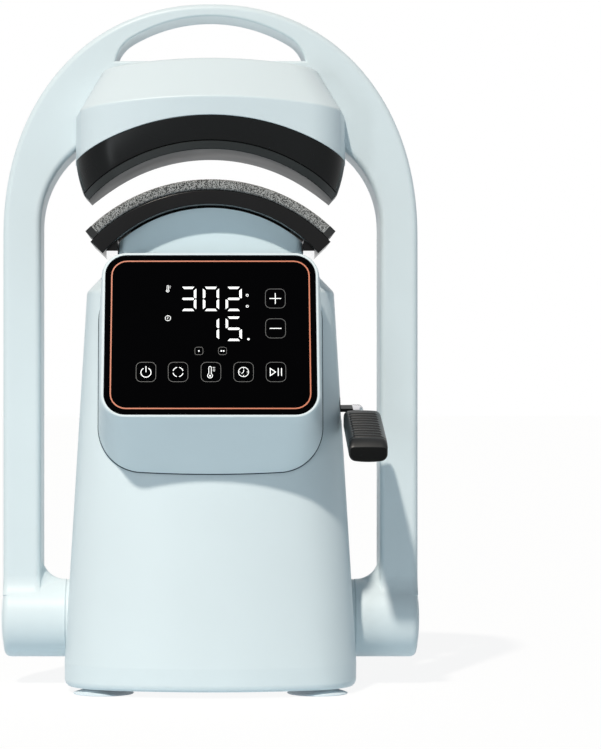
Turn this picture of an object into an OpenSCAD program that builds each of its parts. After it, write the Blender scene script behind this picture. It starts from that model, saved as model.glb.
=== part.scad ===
// Cap heat press: a tower with a curved lower platen, and an arched frame that carries the heating head.
// Millimetres, +Z up, front towards -Y, origin on the floor under the middle of the machine.

/* [Frame] */
// Half width of the frame at its legs
frame_half_w = 134.5; // [132:0.5:137]
// Height of the top of the arch
frame_top_z = 442.2; // [440:0.2:446]
// Height where the outer arch leaves the straight legs
frame_spring_z = 290; // [284:1:296]
// Squareness of the outer arch, 2 being an ellipse
frame_power = 2.15; // [2:0.05:2.3]
// Front face of the frame
frame_front_y = 15; // [14:0.5:16]
// Depth of the frame from front to back
frame_depth = 39.5; // [38:0.5:40]
// Rounding of the frame's edges
frame_edge_r = 4; // [3:0.5:5]
// Half width of the doorway between the legs
door_half_w = 110; // [108:0.5:111]
// Height where the doorway's curve leaves the legs
door_spring_z = 298; // [294:1:302]
// Radius of the doorway's shoulders
door_shoulder_r = 63; // [60:1:64]
// Height of the top of the doorway
door_top_z = 366; // [365:0.5:368]
// Fillet where a leg's inner edge runs into its hinge boss
leg_fillet_r = 15; // [10:1:15]

/* [Hand opening] */
// Half width of the hand opening
hand_half_w = 61.8; // [58:0.2:63]
// Height of the top of the hand opening
hand_top_z = 434; // [432:0.2:434.6]
// Height of the floor of the hand opening
hand_floor_z = 405; // [403:0.5:407]
// Rise of the opening's curve above its shoulders' centres
hand_rise = 33; // [30:1:34]
// Radius of the opening's shoulders
hand_shoulder_r = 22; // [20:1:26]
// Rounding of the opening's front edge
hand_edge_r = 1.6; // [1:0.2:3]

/* [Frame hinge] */
// Hinge axis, front to back
hinge_y = 30; // [29:0.5:31]
// Hinge axis, above the floor
hinge_z = 43; // [42:0.5:45]
// Radius of the round hinge boss at the foot of each leg
boss_r = 25.3; // [25:0.1:26]
// Inner end of each boss, from the middle
boss_in_x = 93.6; // [93.4:0.1:94.5]
// Radius of the steel hinge stub
stub_r = 8; // [7:0.5:9]
// Radial running clearance of the turning fits
run_gap = 0.05; // [0.03:0.01:0.08]

/* [Tower] */
// Half width of the tower where its sides would meet the floor
tower_half_w = 94; // [93:0.1:94]
// Inward lean of each side, per millimetre of height
side_taper = 0.0576; // [0.05:0.0002:0.06]
// Middle of the front at the floor
tower_front_y = -65.8; // [-67:0.2:-64]
// Backward lean of the front, per millimetre of height
front_taper = 0.084; // [0.08:0.001:0.09]
// Back of the tower
tower_back_y = 88.3; // [87.5:0.1:89]
// Bottom edge of the tower above the floor
tower_bottom_z = 4; // [3.8:0.1:5]
// Crease above the plinth
plinth_z = 18.4; // [17:0.2:22]
// Height where the shoulder's slope starts
shoulder_z = 254.3; // [252:0.1:256]
// Flat top of the tower
tower_top_z = 265.5; // [264:0.1:267]
// Width of the shoulder's slope
shoulder_w = 10; // [8:0.5:11]
// Radius of the bulge across the front
bulge_r = 190; // [170:5:260]
// Radius of the front's vertical corners
corner_r = 42; // [36:1:44]
// Radius of the back's vertical corners
back_corner_r = 24; // [18:1:28]
// Wall of the mouldings
wall = 3; // [2.5:0.1:3.2]

/* [Console] */
// Width of the glass
glass_w = 130.5; // [128:0.5:132]
// Height of the glass along its slope
glass_h = 105.8; // [104:0.2:108]
// Radius of the glass's corners
glass_r = 13.2; // [12:0.2:16]
// Thickness of the glass
glass_t = 2.4; // [2:0.1:2.5]
// Backward lean of the glass in degrees
glass_lean = 20.7; // [19:0.1:22]
// Bottom edge of the glass, front to back
glass_y = -87.8; // [-89:0.2:-86]
// Bottom edge of the glass, above the floor
glass_z = 176.4; // [174:0.1:178]
// Rim of the pod around the glass
rim_w = 1.9; // [1.2:0.1:2.4]
// Half width of the pod where it meets the tower
pod_half_w = 70.6; // [69:0.1:71.5]
// Bottom of the pod where it meets the tower
pod_bottom_z = 139; // [136:1:142]

/* [Platens] */
// Radius of the hot platen's hollow face
platen_r = 111.6; // [111.4:0.1:112]
// Axis of the hot platen's hollow face above the floor
platen_z = 231; // [230.5:0.1:231.5]
// Middle of both platens, front to back
platen_y = -4; // [-5:0.5:-3]
// Depth of both platens
platen_depth = 76; // [72:1:78]
// Radius of the pad's round face
pad_r = 110.4; // [110:0.1:110.5]
// Thickness of the pad
pad_t = 6.6; // [5:0.1:7]
// Travel of the lower platen
lift = 17.6; // [17:0.1:17.8]
// Half angle of the pad
pad_angle = 45; // [43:0.5:45.5]
// Half angle of the black arch under the pad
arch_angle = 46.7; // [46:0.1:47]
// Radius of the arch's underside
arch_inner_r = 89.4; // [89:0.1:90]
// Half width of the neck
neck_half_w = 58.2; // [57:0.1:58.5]
// Front of the neck
neck_front_y = -27; // [-28:0.5:-26]
// Back of the neck
neck_back_y = 19; // [18:0.5:20]

/* [Head] */
// Half width of the head's lower edge
head_half_w = 87.3; // [86.5:0.1:87.5]
// Front of the head's lower face
head_front_y = -48; // [-50:0.5:-47]
// Middle of the head's top
head_top_z = 402.6; // [401:0.2:405]
// Middle of the crease between the head's lower face and its sloped face
head_crease_z = 375.5; // [373:0.5:378]
// Half width of the head's top
head_top_half_w = 70; // [66:0.5:72]
// Front of the head's top
head_top_y = -22; // [-30:1:-15]
// Radius of the seam between the head and its black skirt
seam_r = 153; // [148:1:158]
// Middle of the seam above the floor
seam_top_z = 363.7; // [363.5:0.1:364]
// Outward lean of the head's sides, per millimetre towards the back
head_flare = 0.15; // [0.1:0.01:0.16]

/* [Lever] */
// Lever shaft above the floor
shaft_z = 179.75; // [179:0.25:181]
// Radius of the lever shaft
shaft_r = 5; // [4.5:0.1:5.5]
// Droop of the resting lever below the level, in degrees
droop = 14; // [12:0.5:16]
// Turn of the lever from rest to pressed, in degrees
lever_turn = 75; // [70:1:75]
// Middle of the grip, from the middle of the machine
grip_x = 96.5; // [96.3:0.1:98]
// Width of the grip
grip_w = 23.8; // [22:0.1:24]
// Height of the grip
grip_h = 14.4; // [12:0.1:14.6]
// Length of the grip
grip_len = 77; // [70:1:78]
// Number of ribs across the grip
rib_count = 9; // [6:1:10]

/* [Hidden] */

$fn = 64;
blue = [0.83, 0.89, 0.91];
black = [0.14, 0.15, 0.15];
steel = [0.70, 0.71, 0.73];
chrome = [0.85, 0.86, 0.88];
// Points across half a ring of a lofted moulding
ring_n = 11;
// Radius that stands for a straight edge
flat_r = 40000;
// Clearance between pieces that only rest on each other
seat = 0.1;
// Overshoot of a cutting solid
over = 1;
frame_back_y = frame_front_y + frame_depth;
platen_front_y = platen_y - platen_depth / 2;
platen_back_y = platen_y + platen_depth / 2;
pad_z = platen_z - lift;
arch_r = pad_r - pad_t - 0.2;
arch_inner_z = 308.1 - arch_inner_r;
seam_z = seam_top_z - seam_r;
lip_r = platen_r + 5.3;
shaft_y = platen_y;
// Block that carries the lower platen on the guide rods
block_z = 229;
block_t = 12;

// Rings and skins

// Depth of an outline's edge at x: a wide bulge of radius rb that runs into corners of radius rc
function edge_y(x, w, y, rb, rc) =
    let (cx = w - rc)
    let (cy = rb - sqrt((rb - rc)^2 - cx^2))
    abs(x) <= cx * rb / (rb - rc)
        ? y + rb - sqrt(rb^2 - x^2)
        : y + cy - sqrt(max(0, rc^2 - (abs(x) - cx)^2));

// Closed outline, anticlockwise from above, with its points at the same x on both edges
function ring(w, y0, y1, rb0, rc0, rb1, rc1) = concat(
    [for (i = [-ring_n:ring_n]) let (x = w * sin(90 * i / ring_n)) [x, edge_y(x, w, y0, rb0, rc0)]],
    [for (i = [ring_n:-1:-ring_n]) let (x = w * sin(90 * i / ring_n)) [x, -edge_y(x, w, -y1, rb1, rc1)]]
);

// Outline raised to a height that may depend on x
function raised(r, f) = [for (p = r) [p[0], p[1], f(p[0])]];
function level(r, z) = [for (p = r) [p[0], p[1], z]];

function quad(a, b, c, d) = [[a, c, b], [a, d, c]];
function strip_cap(s, n, up) = [
    for (k = [0:n / 2 - 2])
        each up ? quad(s + k, s + k + 1, s + n - 2 - k, s + n - 1 - k)
                : quad(s + k, s + n - 1 - k, s + n - 2 - k, s + k + 1)
];
function flat_cap(s, n, up) = [up ? [for (i = [n - 1:-1:0]) s + i] : [for (i = [0:n - 1]) s + i]];

// Skin over a stack of rings; a loop joins the last ring to the first
module loft(rings, loop = false, flat = false) {
    n = len(rings[0]);
    m = len(rings);
    walls = [
        for (j = [0:loop ? m - 1 : m - 2], i = [0:n - 1])
            let (i2 = (i + 1) % n, j2 = (j + 1) % m)
            each quad(j * n + i, j * n + i2, j2 * n + i2, j2 * n + i)
    ];
    low = flat ? flat_cap(0, n, false) : strip_cap(0, n, false);
    high = flat ? flat_cap((m - 1) * n, n, true) : strip_cap((m - 1) * n, n, true);
    points = [for (r = rings) each r];
    polyhedron(points, loop ? walls : concat(walls, low, high), convexity = 10);
}

// Curves of the frame, in front view

function unit(v) = v / norm(v);

// Outline drawn in by d; its inside lies to the right of the way round
function drawn_in(pts, d) =
    let (n = len(pts))
    [
        for (i = [0:n - 1])
            let (a = unit(pts[i] - pts[(i + n - 1) % n]), b = unit(pts[(i + 1) % n] - pts[i]))
            let (na = [a[1], -a[0]], nb = [b[1], -b[0]])
            pts[i] + d * (na + nb) / (1 + na * nb)
    ];

function arc(cx, cz, r, a0, a1, n) =
    [for (i = [0:n]) let (a = a0 + (a1 - a0) * i / n) [cx + r * cos(a), cz + r * sin(a)]];

// Arch of three arcs from the left foot to the right: half width a, rise b above z0, shoulder radius r
function three_arcs(a, b, z0, r, n) =
    let (top_r = (a^2 + b^2 - 2 * a * r) / (2 * (b - r)))
    let (join = atan2(a - r, top_r - b))
    concat(
        arc(r - a, z0, r, 180, 90 + join, n),
        [
            for (i = [1:2 * n - 1])
                let (t = 90 + join * (1 - i / n))
                [top_r * cos(t), z0 + b - top_r + top_r * sin(t)]
        ],
        arc(a - r, z0, r, 90 - join, 0, n)
    );

function outer_arch(n) = [
    for (i = [0:n])
        let (t = 180 - 180 * i / n)
        [
            frame_half_w * sign(cos(t)) * abs(cos(t))^(2 / frame_power),
            frame_spring_z + (frame_top_z - frame_spring_z) * abs(sin(t))^(2 / frame_power)
        ]
];

function turned(pts) = [for (i = [len(pts) - 1:-1:0]) pts[i]];
function mirrored(pts) = [for (p = turned(pts)) [-p[0], p[1]]];
leg_foot_z = hinge_z + 3;

// Outline of the frame: up the left leg, over the arch and down, then back along the doorway point for point
function frame_outline() =
    let (ledge_z = hinge_z + boss_r - 0.4, tip_x = boss_in_x - 8)
    let (fillet = arc(leg_fillet_r - door_half_w, ledge_z + leg_fillet_r, leg_fillet_r, -90, -180, 5))
    let (inner_leg = concat([[-tip_x, leg_foot_z], [-tip_x, ledge_z]], fillet))
    let (door = three_arcs(door_half_w, door_top_z - door_spring_z, door_spring_z, door_shoulder_r, 9))
    let (outer_leg = [for (i = [0:7]) [-frame_half_w, leg_foot_z + 5 * i]])
    concat(
        outer_leg, outer_arch(36), mirrored(outer_leg),
        turned(concat(inner_leg, door, mirrored(inner_leg)))
    );

function hand_outline() =
    let (z0 = hand_top_z - hand_rise)
    let (foot = hand_half_w - hand_shoulder_r + sqrt(hand_shoulder_r^2 - (hand_floor_z - z0)^2))
    let (curve = three_arcs(hand_half_w, hand_rise, z0, hand_shoulder_r, 7))
    concat(
        [[-foot, hand_floor_z]],
        [for (p = curve) if (p[1] > hand_floor_z + 0.6) p],
        [[foot, hand_floor_z]]
    );

function stood(pts, y) = [for (p = pts) [p[0], y, p[1]]];

// Profiles

module rounded_box(w, h, r) {
    square([w - 2 * r, h], center = true);
    square([w, h - 2 * r], center = true);
    for (sx = [-1, 1], sy = [-1, 1]) {
        translate([sx * (w / 2 - r), sy * (h / 2 - r)]) circle(r);
    }
}

// Tube or rod along X from x0 to x1
module rod_x(x0, x1, r) {
    translate([x0, 0, 0]) rotate([0, 90, 0]) cylinder(h = x1 - x0, r = r);
}

module tube_x(x0, x1, r, bore) {
    difference() {
        rod_x(x0, x1, r);
        rod_x(x0 - over, x1 + over, bore);
    }
}

module both_sides() {
    children();
    mirror([1, 0, 0]) children();
}

// Plate in front view, from y0 to y1
module front_plate(y0, y1) {
    translate([0, y1, 0]) rotate([90, 0, 0]) linear_extrude(y1 - y0) children();
}

// Slice of a ring about the platens' axis at height z, from y0 to y1 and half angle a
module ring_slice(z, r0, r1, y0, y1, a) {
    translate([0, y1, z]) rotate([90, 0, 0]) rotate([0, 0, 90 - a])
        rotate_extrude(angle = 2 * a) translate([r0, 0]) square([r1 - r0, y1 - y0]);
}

// Tower

function tower_w(z) = tower_half_w - side_taper * z;
function tower_y(z) = tower_front_y + front_taper * z;
function tower_ring(z, d) = ring(
    tower_w(z) - d, tower_y(z) + d, tower_back_y - d,
    bulge_r - d, corner_r - d, flat_r, back_corner_r - d
);
function tower_face_y(x, z) = edge_y(x, tower_w(z), tower_y(z), bulge_r, corner_r);

foot_x = 67.5;
foot_front_y = -30;
foot_back_y = 62;
plate_z = 6;
plate_t = 3;
cover_w = 100;
cover_h = 178;
cover_z = 115;
cover_t = 2;
inlet_x = 24;
inlet_z = 48;
inlet_w = 28;
inlet_h = 20;
inlet_depth = 22;
neck_gap = 0.5;

function neck_ring(d) =
    ring(neck_half_w + d, neck_front_y - d, neck_back_y + d, flat_r, 1, flat_r, 1);

// Flat round face on each side of the tower, against which a boss of the frame turns
hub_x0 = 88.5;
hub_x1 = boss_in_x - 0.5;
hub_r = boss_r - 0.2;

module tower_shell() color(blue) difference() {
    union() {
        loft([
            level(tower_ring(tower_bottom_z, 3.6), tower_bottom_z),
            level(tower_ring(tower_bottom_z + 1.6, 2.4), tower_bottom_z + 1.6),
            level(tower_ring(tower_bottom_z + 4.4, 0.8), tower_bottom_z + 4.4),
            level(tower_ring(plinth_z, 0), plinth_z),
            level(tower_ring(shoulder_z, 0), shoulder_z),
            level(tower_ring(tower_top_z, shoulder_w), tower_top_z)
        ]);
        both_sides() translate([0, hinge_y, hinge_z]) rod_x(hub_x0, hub_x1, hub_r);
    }
    loft([
        level(tower_ring(tower_bottom_z, 6), tower_bottom_z - over),
        level(tower_ring(plinth_z, wall), plinth_z),
        level(tower_ring(shoulder_z - 1.5, wall), shoulder_z - 1.5),
        level(tower_ring(tower_top_z - wall, shoulder_w + 1.2), tower_top_z - wall)
    ]);
    translate([0, 0, shoulder_z - 2]) linear_extrude(tower_top_z - shoulder_z + 2 + over)
        polygon(neck_ring(neck_gap));
    translate([0, 0, cover_z]) front_plate(tower_back_y - cover_t, tower_back_y + over)
        rounded_box(cover_w + 0.6, cover_h + 0.6, 6);
    translate([0, 0, cover_z]) front_plate(tower_back_y - 10, tower_back_y + over)
        rounded_box(cover_w - 8, cover_h - 8, 4);
    cover_places() rotate([90, 0, 0]) cylinder(h = 20, r = 1.7, center = true);
    translate([0, hinge_y, hinge_z]) rod_x(-tower_half_w - over, tower_half_w + over, stub_r + 1);
    translate([0, shaft_y, shaft_z]) rod_x(60, tower_half_w, grommet_r);
}

module cover_places() {
    for (x = [-1, 1], z = [-1, 1]) {
        translate([x * (cover_w / 2 - 4), tower_back_y, cover_z + z * (cover_h / 2 - 8)]) children();
    }
}

// Back cover with rows of vent slots and the cut-out for the mains inlet
module rear_cover() color(blue) difference() {
    translate([0, 0, cover_z]) front_plate(tower_back_y - cover_t + 0.05, tower_back_y)
        rounded_box(cover_w, cover_h, 5.7);
    for (row = [0:6], side = [-1, 1]) {
        translate([side * 20, 0, cover_z + 8 + 9 * row]) front_plate(tower_back_y - 5, tower_back_y + over)
            rounded_box(30, 3.4, 1.6);
    }
    translate([inlet_x, 0, inlet_z]) front_plate(tower_back_y - 5, tower_back_y + over)
        square([inlet_w + 0.4, inlet_h + 0.4], center = true);
    cover_places() rotate([90, 0, 0]) cylinder(h = 20, r = 1.7, center = true);
}

module rear_cover_screws() color(steel) cover_places() rotate([90, 0, 0]) {
    cylinder(h = cover_t + 0.9, r = 1.6);
}

module foot_places() {
    for (x = [-1, 1], y = [foot_front_y, foot_back_y]) {
        translate([x * foot_x, y, 0]) children();
    }
}

module base_plate() color(steel) difference() {
    translate([0, 0, plate_z]) linear_extrude(plate_t) polygon(tower_ring(tower_bottom_z, 6.4));
    foot_places() cylinder(h = 30, r = 3.2);
}

// Suction cup with a flared skirt, a hollow underside and a stud that goes up through the base plate
module suction_feet() color([0.44, 0.5, 0.54]) foot_places() {
    rotate_extrude() polygon([
        [0, 2.6], [7, 2.4], [17, 0], [19, 0], [19, 0.8], [12, 3.6], [10.5, 5.95], [0, 5.95]
    ]);
    cylinder(h = 15, r = 3);
}

module foot_nuts() color(steel) foot_places() translate([0, 0, plate_z + plate_t + seat]) difference() {
    cylinder(h = 4.8, r = 5.6, $fn = 6);
    cylinder(h = 20, r = 3.1, center = true);
}

// Console

module on_glass() {
    translate([0, glass_y, glass_z]) rotate([90 - glass_lean, 0, 0]) translate([0, glass_h / 2, 0])
        children();
}

// Outline of the glass grown by d, set h in front of the glass plane
function glass_ring(d, h) =
    let (r2d = ring(glass_w / 2 + d, -d, glass_h + d, flat_r, glass_r + d, flat_r, glass_r + d))
    [
        for (p = r2d)
            [
                p[0],
                glass_y + p[1] * sin(glass_lean) - h * cos(glass_lean),
                glass_z + p[1] * cos(glass_lean) + h * sin(glass_lean)
            ]
    ];

pod_top_z = 274;
pod_corner_r = 28;
pod_top_corner_r = 40;
// The pod follows the tower's face, and stops short of it behind the top of the glass
function pod_back_y(x, z) = min(tower_face_y(x, z) - 0.3, -36 + (276 - z) * 0.35);
pod_back_ring = [
    for (p = ring(pod_half_w, pod_bottom_z, pod_top_z, 900, pod_corner_r, flat_r, pod_top_corner_r))
        [p[0], pod_back_y(p[0], p[1]), p[1]]
];
recess_t = glass_t + 0.3;
recess_gap = 0.3;
cavity_t = 5.6;

module console_pod() color(blue) loft([
    pod_back_ring,
    glass_ring(rim_w + 0.6, -1.8),
    glass_ring(rim_w, -0.4),
    glass_ring(rim_w - 0.4, 0),
    glass_ring(recess_gap, 0),
    glass_ring(recess_gap, -recess_t),
    glass_ring(-4, -recess_t),
    glass_ring(-4, -cavity_t)
]);

module glass_panel() color([0.05, 0.05, 0.05]) on_glass() translate([0, 0, -glass_t - 0.1])
    linear_extrude(glass_t) rounded_box(glass_w, glass_h, glass_r);

module display_board() color([0.1, 0.35, 0.2]) on_glass() translate([0, 0, -cavity_t + seat])
    linear_extrude(1.6) rounded_box(glass_w - 12, glass_h - 12, 6);

// Inside the tower

board_z = 16;
post_h = board_z - plate_z - plate_t - seat;
module power_board() color([0.1, 0.35, 0.2]) translate([0, 20, board_z]) {
    translate([-42, -26, 0]) cube([84, 52, 1.6]);
    translate([-36, -18, 1.6]) cube([28, 24, 22]);
    for (x = [4, 18]) {
        translate([x, -10, 1.6]) cylinder(h = 24, r = 6);
    }
    for (x = [-38, 38], y = [-22, 22]) {
        translate([x, y, -post_h]) cylinder(h = post_h, r = 2.5);
    }
    translate([8, 12, 1.6]) cube([26, 8, 14]);
}

module mains_inlet() color(black) translate([inlet_x, tower_back_y, inlet_z]) {
    difference() {
        front_plate(-inlet_depth, 0) square([inlet_w, inlet_h], center = true);
        front_plate(-17, over) polygon([[-12, -8], [12, -8], [12, 4], [8, 8], [-8, 8], [-12, 4]]);
    }
    for (p = [[-7, -2], [7, -2], [0, 3]]) {
        translate([p[0], 0, p[1]]) front_plate(-17.5, -7) square([2, 4], center = true);
    }
}

chassis_x = 68;
chassis_t = 3;
bush_r = 8;
grommet_r = 8;

module chassis_profile() {
    difference() {
        polygon([[-16, 9.1], [52, 9.1], [52, 22], [62, 32], [62, 90], [30, 150], [24, 228], [-16, 228]]);
        translate([hinge_y, hinge_z]) circle(10);
        translate([shaft_y, shaft_z]) circle(bush_r + run_gap);
        translate([12, 110]) circle(14);
        translate([8, 74]) circle(9);
    }
}

// Two steel side plates, each with a turned-in foot on the base plate
module chassis_plates() color(steel) both_sides() {
    translate([chassis_x, 0, 0]) rotate([90, 0, 90]) linear_extrude(chassis_t) chassis_profile();
    translate([chassis_x - 14, -16, 9.1]) cube([14.5, 62, chassis_t]);
}

module hinge_stubs() color(steel) both_sides() translate([0, hinge_y, hinge_z]) {
    rod_x(chassis_x - 3, chassis_x + chassis_t + seat + 1, 9.9);
    rod_x(chassis_x + chassis_t + seat, chassis_x + chassis_t + 5, 17);
    rod_x(chassis_x, nut_x + 5, stub_r);
}

module shaft_bushes() color([0.75, 0.6, 0.35]) both_sides() translate([0, shaft_y, shaft_z]) {
    tube_x(chassis_x - 1, chassis_x + chassis_t + 1, bush_r, shaft_r + run_gap);
}

module shaft_grommet() color(black) translate([0, shaft_y, shaft_z])
    tube_x(78.8, 83, grommet_r - seat, tang_w / 2 + 0.5);

rod_x0 = 42;
rod_y = 6.4;
rod_r = 4;
low_bridge_z = 146;
high_bridge_z = 217;
bridge_t = 4;
collar_z = 270;

module rod_places() {
    for (x = [-1, 1]) {
        translate([x * rod_x0, rod_y, 0]) children();
    }
}

module rod_bridges() color(steel) difference() {
    for (z = [low_bridge_z, high_bridge_z]) {
        translate([-chassis_x + seat, -15, z]) cube([2 * (chassis_x - seat), 38, bridge_t]);
    }
    rod_places() translate([0, 0, 100]) cylinder(h = 200, r = rod_r + run_gap);
    translate([-fork_out_x - 2, -15 - over, high_bridge_z - over])
        cube([2 * fork_out_x + 4, 24, bridge_t + 2 * over]);
}

module guide_rods() color(chrome) rod_places() translate([0, 0, low_bridge_z - 4])
    cylinder(h = collar_z + 6 - low_bridge_z + 4, r = rod_r);

module rod_collars() color(steel) rod_places() translate([0, 0, collar_z]) difference() {
    cylinder(h = 5, r = 9);
    cylinder(h = 20, r = rod_r + run_gap, center = true);
}

spring_turns = 6;
spring_mean_r = 6.4;
spring_wire_r = 0.8;
spring_steps = 10;
spring_low_z = block_z + block_t + spring_wire_r + seat;
spring_high_z = collar_z - spring_wire_r - seat;

// One unbroken coil from the top of the lift block to the collar on its rod
function spring_ring(i) =
    let (a = 360 * i / spring_steps, part = i / (spring_turns * spring_steps))
    let (z = spring_low_z + (spring_high_z - spring_low_z) * part)
    [
        for (k = [0:5])
            let (r = spring_mean_r + spring_wire_r * cos(-60 * k))
            [r * cos(a), r * sin(a), z + spring_wire_r * sin(-60 * k)]
    ];

module return_springs() color(steel) rod_places()
    loft([for (i = [0:spring_turns * spring_steps]) spring_ring(i)], flat = true);

// Arched frame

channel_y = 20;
channel_in_r = 114;
channel_out_r = 128;
channel_low_z = 88;
bar_low_z = 374;
bar_high_z = 394;
spine_t = 8;
recess_x = 120;
recess_r = 17;
nut_x = 124.9;

// Channel in the frame's back: up each leg, round each shoulder and across behind the head
module channel_shape(d) {
    both_sides() {
        translate([channel_in_r + d, channel_low_z + d])
            square([channel_out_r - channel_in_r - 2 * d, 308 - channel_low_z - d]);
        intersection() {
            translate([0, 308]) difference() {
                circle(channel_out_r - d);
                circle(channel_in_r + d);
            }
            translate([60, 307.9]) square([channel_out_r, bar_high_z - d - 307.9]);
        }
    }
    translate([-98, bar_low_z + d]) square([196, bar_high_z - bar_low_z - 2 * d]);
}

// Turned profile of a boss about its axis, with its outer edge rounded
module boss_solid() {
    r = 4;
    x1 = frame_half_w + 0.9;
    rotate([0, 90, 0]) rotate_extrude() {
        translate([0, boss_in_x]) square([boss_r, x1 - r - boss_in_x]);
        translate([0, boss_in_x]) square([boss_r - r, x1 - boss_in_x]);
        translate([boss_r - r, x1 - r]) circle(r);
    }
}

// Outline o stood in steps round the edge: a rounding of r in front and a small one behind; s is its sign
function edge_rings(o, s, r) = concat(
    [
        for (k = [0:4])
            let (d = r * (1 - sin(22.5 * k)), y = r * (1 - cos(22.5 * k)))
            stood(drawn_in(o, s * d), frame_front_y + y)
    ],
    [for (k = [0:2]) stood(drawn_in(o, s * 2 * (1 - cos(45 * k))), frame_back_y - 2 * (1 - sin(45 * k)))]
);
function frame_rings() = edge_rings(frame_outline(), 1, frame_edge_r);

// Hand opening with its edges rounded over
function hand_rings() =
    let (o = hand_outline())
    concat(
        [stood(drawn_in(o, -hand_edge_r), frame_front_y - over)],
        edge_rings(o, -1, hand_edge_r),
        [stood(drawn_in(o, -2), frame_back_y + over)]
    );

module frame_arch() color(blue) difference() {
    union() {
        difference() {
            loft(frame_rings());
            translate([-boss_in_x - 0.2, frame_front_y - over, leg_foot_z - over])
                cube([2 * boss_in_x + 0.4, frame_depth + 2 * over, boss_r]);
        }
        both_sides() translate([0, hinge_y, hinge_z]) boss_solid();
    }
    loft(hand_rings(), flat = true);
    front_plate(channel_y, frame_back_y + over) channel_shape(0);
    both_sides() translate([0, hinge_y, hinge_z]) {
        rod_x(boss_in_x - over, recess_x + over, 10);
        rod_x(recess_x, frame_half_w + 2, recess_r);
    }
    head_bolt_places() rotate([90, 0, 0]) cylinder(h = 40, r = 3.2, center = true);
}

module cover_screw_places() {
    for (s = [-1, 1], z = [110, 200, 290]) {
        translate([s * (channel_in_r + channel_out_r) / 2, frame_back_y, z]) children();
    }
    for (s = [-1, 1]) {
        translate([s * 70, frame_back_y, (bar_low_z + bar_high_z) / 2]) children();
    }
}

module head_bolt_places() {
    for (s = [-1, 1]) {
        translate([s * 40, frame_front_y, (bar_low_z + bar_high_z) / 2]) children();
    }
}

module frame_spine() color(steel) difference() {
    front_plate(channel_y + seat, channel_y + seat + spine_t) channel_shape(0.6);
    cover_screw_places() rotate([90, 0, 0]) cylinder(h = 80, r = 1.7, center = true);
    head_bolt_places() rotate([90, 0, 0]) cylinder(h = 80, r = 3.2, center = true);
}

module frame_back_cover() color(blue) difference() {
    front_plate(frame_back_y - 2.5, frame_back_y) channel_shape(0.3);
    cover_screw_places() rotate([90, 0, 0]) cylinder(h = 20, r = 1.7, center = true);
}

module back_cover_screws() color(steel) cover_screw_places() rotate([90, 0, 0])
    cylinder(h = frame_back_y - channel_y - 2, r = 1.6);

module hinge_bushes() color([0.75, 0.6, 0.35]) both_sides() translate([0, hinge_y, hinge_z])
    tube_x(boss_in_x + 0.4, recess_x - 0.4, 10 - run_gap, stub_r + run_gap);

module friction_discs() color([0.3, 0.28, 0.26]) both_sides() translate([0, hinge_y, hinge_z])
    tube_x(recess_x + seat, recess_x + 2.1, 16, stub_r + 0.3);

// Dished washers that press on the friction discs
module spring_washers() color(steel) both_sides() translate([0, hinge_y, hinge_z]) rotate([0, 90, 0])
    rotate_extrude() polygon([
        [stub_r + run_gap, 123.7], [14, recess_x + 2.4], [14, recess_x + 3.4], [stub_r + run_gap, 124.7]
    ]);

module lock_nuts() color(steel) both_sides() translate([0, hinge_y, hinge_z]) difference() {
    translate([nut_x, 0, 0]) rotate([0, 90, 0]) cylinder(h = 5, r = 13, $fn = 6);
    rod_x(nut_x - over, nut_x + 10, stub_r + run_gap);
}

// Domed plugs that close the bosses' ends
module boss_caps() color(blue) both_sides() translate([0, hinge_y, hinge_z]) rotate([0, 90, 0])
    rotate_extrude() intersection() {
        translate([0, 136.1 - 120]) circle(120, $fn = 400);
        translate([0, 132]) square([recess_r - 0.15, 6]);
    }

// Heating head

function seam_at(x) = seam_z + sqrt(seam_r^2 - x^2);
function lip_at(x) = platen_z + sqrt((lip_r + 0.4)^2 - x^2);
head_back_y = frame_front_y - 0.1;

head_bulge_r = 300;
head_corner_r = 9;
skirt_corner_r = 12;
// Depth at x of a front that bulges, turns corners of radius r and leans out to half width w at y2
function flared_y(x, w, y, y2, r) =
    let (corner_x = w - head_flare * (y2 - y - 10 - r))
    max(edge_y(min(abs(x), corner_x), corner_x, y, head_bulge_r, r), y2 - (w - abs(x)) / head_flare);

// Closed outline with such a front and a back edge at y1
function flared_ring(w, y, y2, r, y1, rb1, rc1) =
    let (xs = [for (i = [-ring_n:ring_n]) w * sin(90 * i / ring_n)])
    concat(
        [for (x = xs) [x, flared_y(x, w, y, y2, r)]],
        [for (x = turned(xs)) [x, -edge_y(x, w, -y1, rb1, rc1)]]
    );

// Outline of the head's upper moulding, half width w and front y, drawn in by d
function head_ring(w, y, d) =
    flared_ring(w - d, y + d, head_back_y - d - 2, head_corner_r, head_back_y - d, flat_r, 1.5);
function crease_at(x) = head_crease_z - 7.5 * (x / head_half_w)^2;
function crown_at(x) = head_top_z - 6 * (x / head_top_half_w)^2;

module head_housing() color(blue) difference() {
    loft([
        raised(head_ring(head_top_half_w, head_top_y, wall), function(x) crown_at(x) - wall),
        raised(head_ring(head_half_w - 1, head_front_y + 0.6, wall), function(x) crease_at(x) - 1),
        raised(head_ring(head_half_w, head_front_y, wall), function(x) seam_at(x) + seat),
        raised(head_ring(head_half_w, head_front_y, 0), function(x) seam_at(x) + seat),
        raised(head_ring(head_half_w - 0.8, head_front_y + 0.4, 0), function(x) crease_at(x) - 1.4),
        raised(head_ring(head_half_w - 1.5, head_front_y + 1.3, 0), function(x) crease_at(x) + 0.9),
        raised(head_ring(head_top_half_w + 0.9, head_top_y - 1.6, 0), function(x) crown_at(x) - 1.2),
        raised(head_ring(head_top_half_w - 1.2, head_top_y + 1.2, 0), function(x) crown_at(x))
    ]);
    head_bolt_places() rotate([90, 0, 0]) cylinder(h = 30, r = 3.2, center = true);
}

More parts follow.
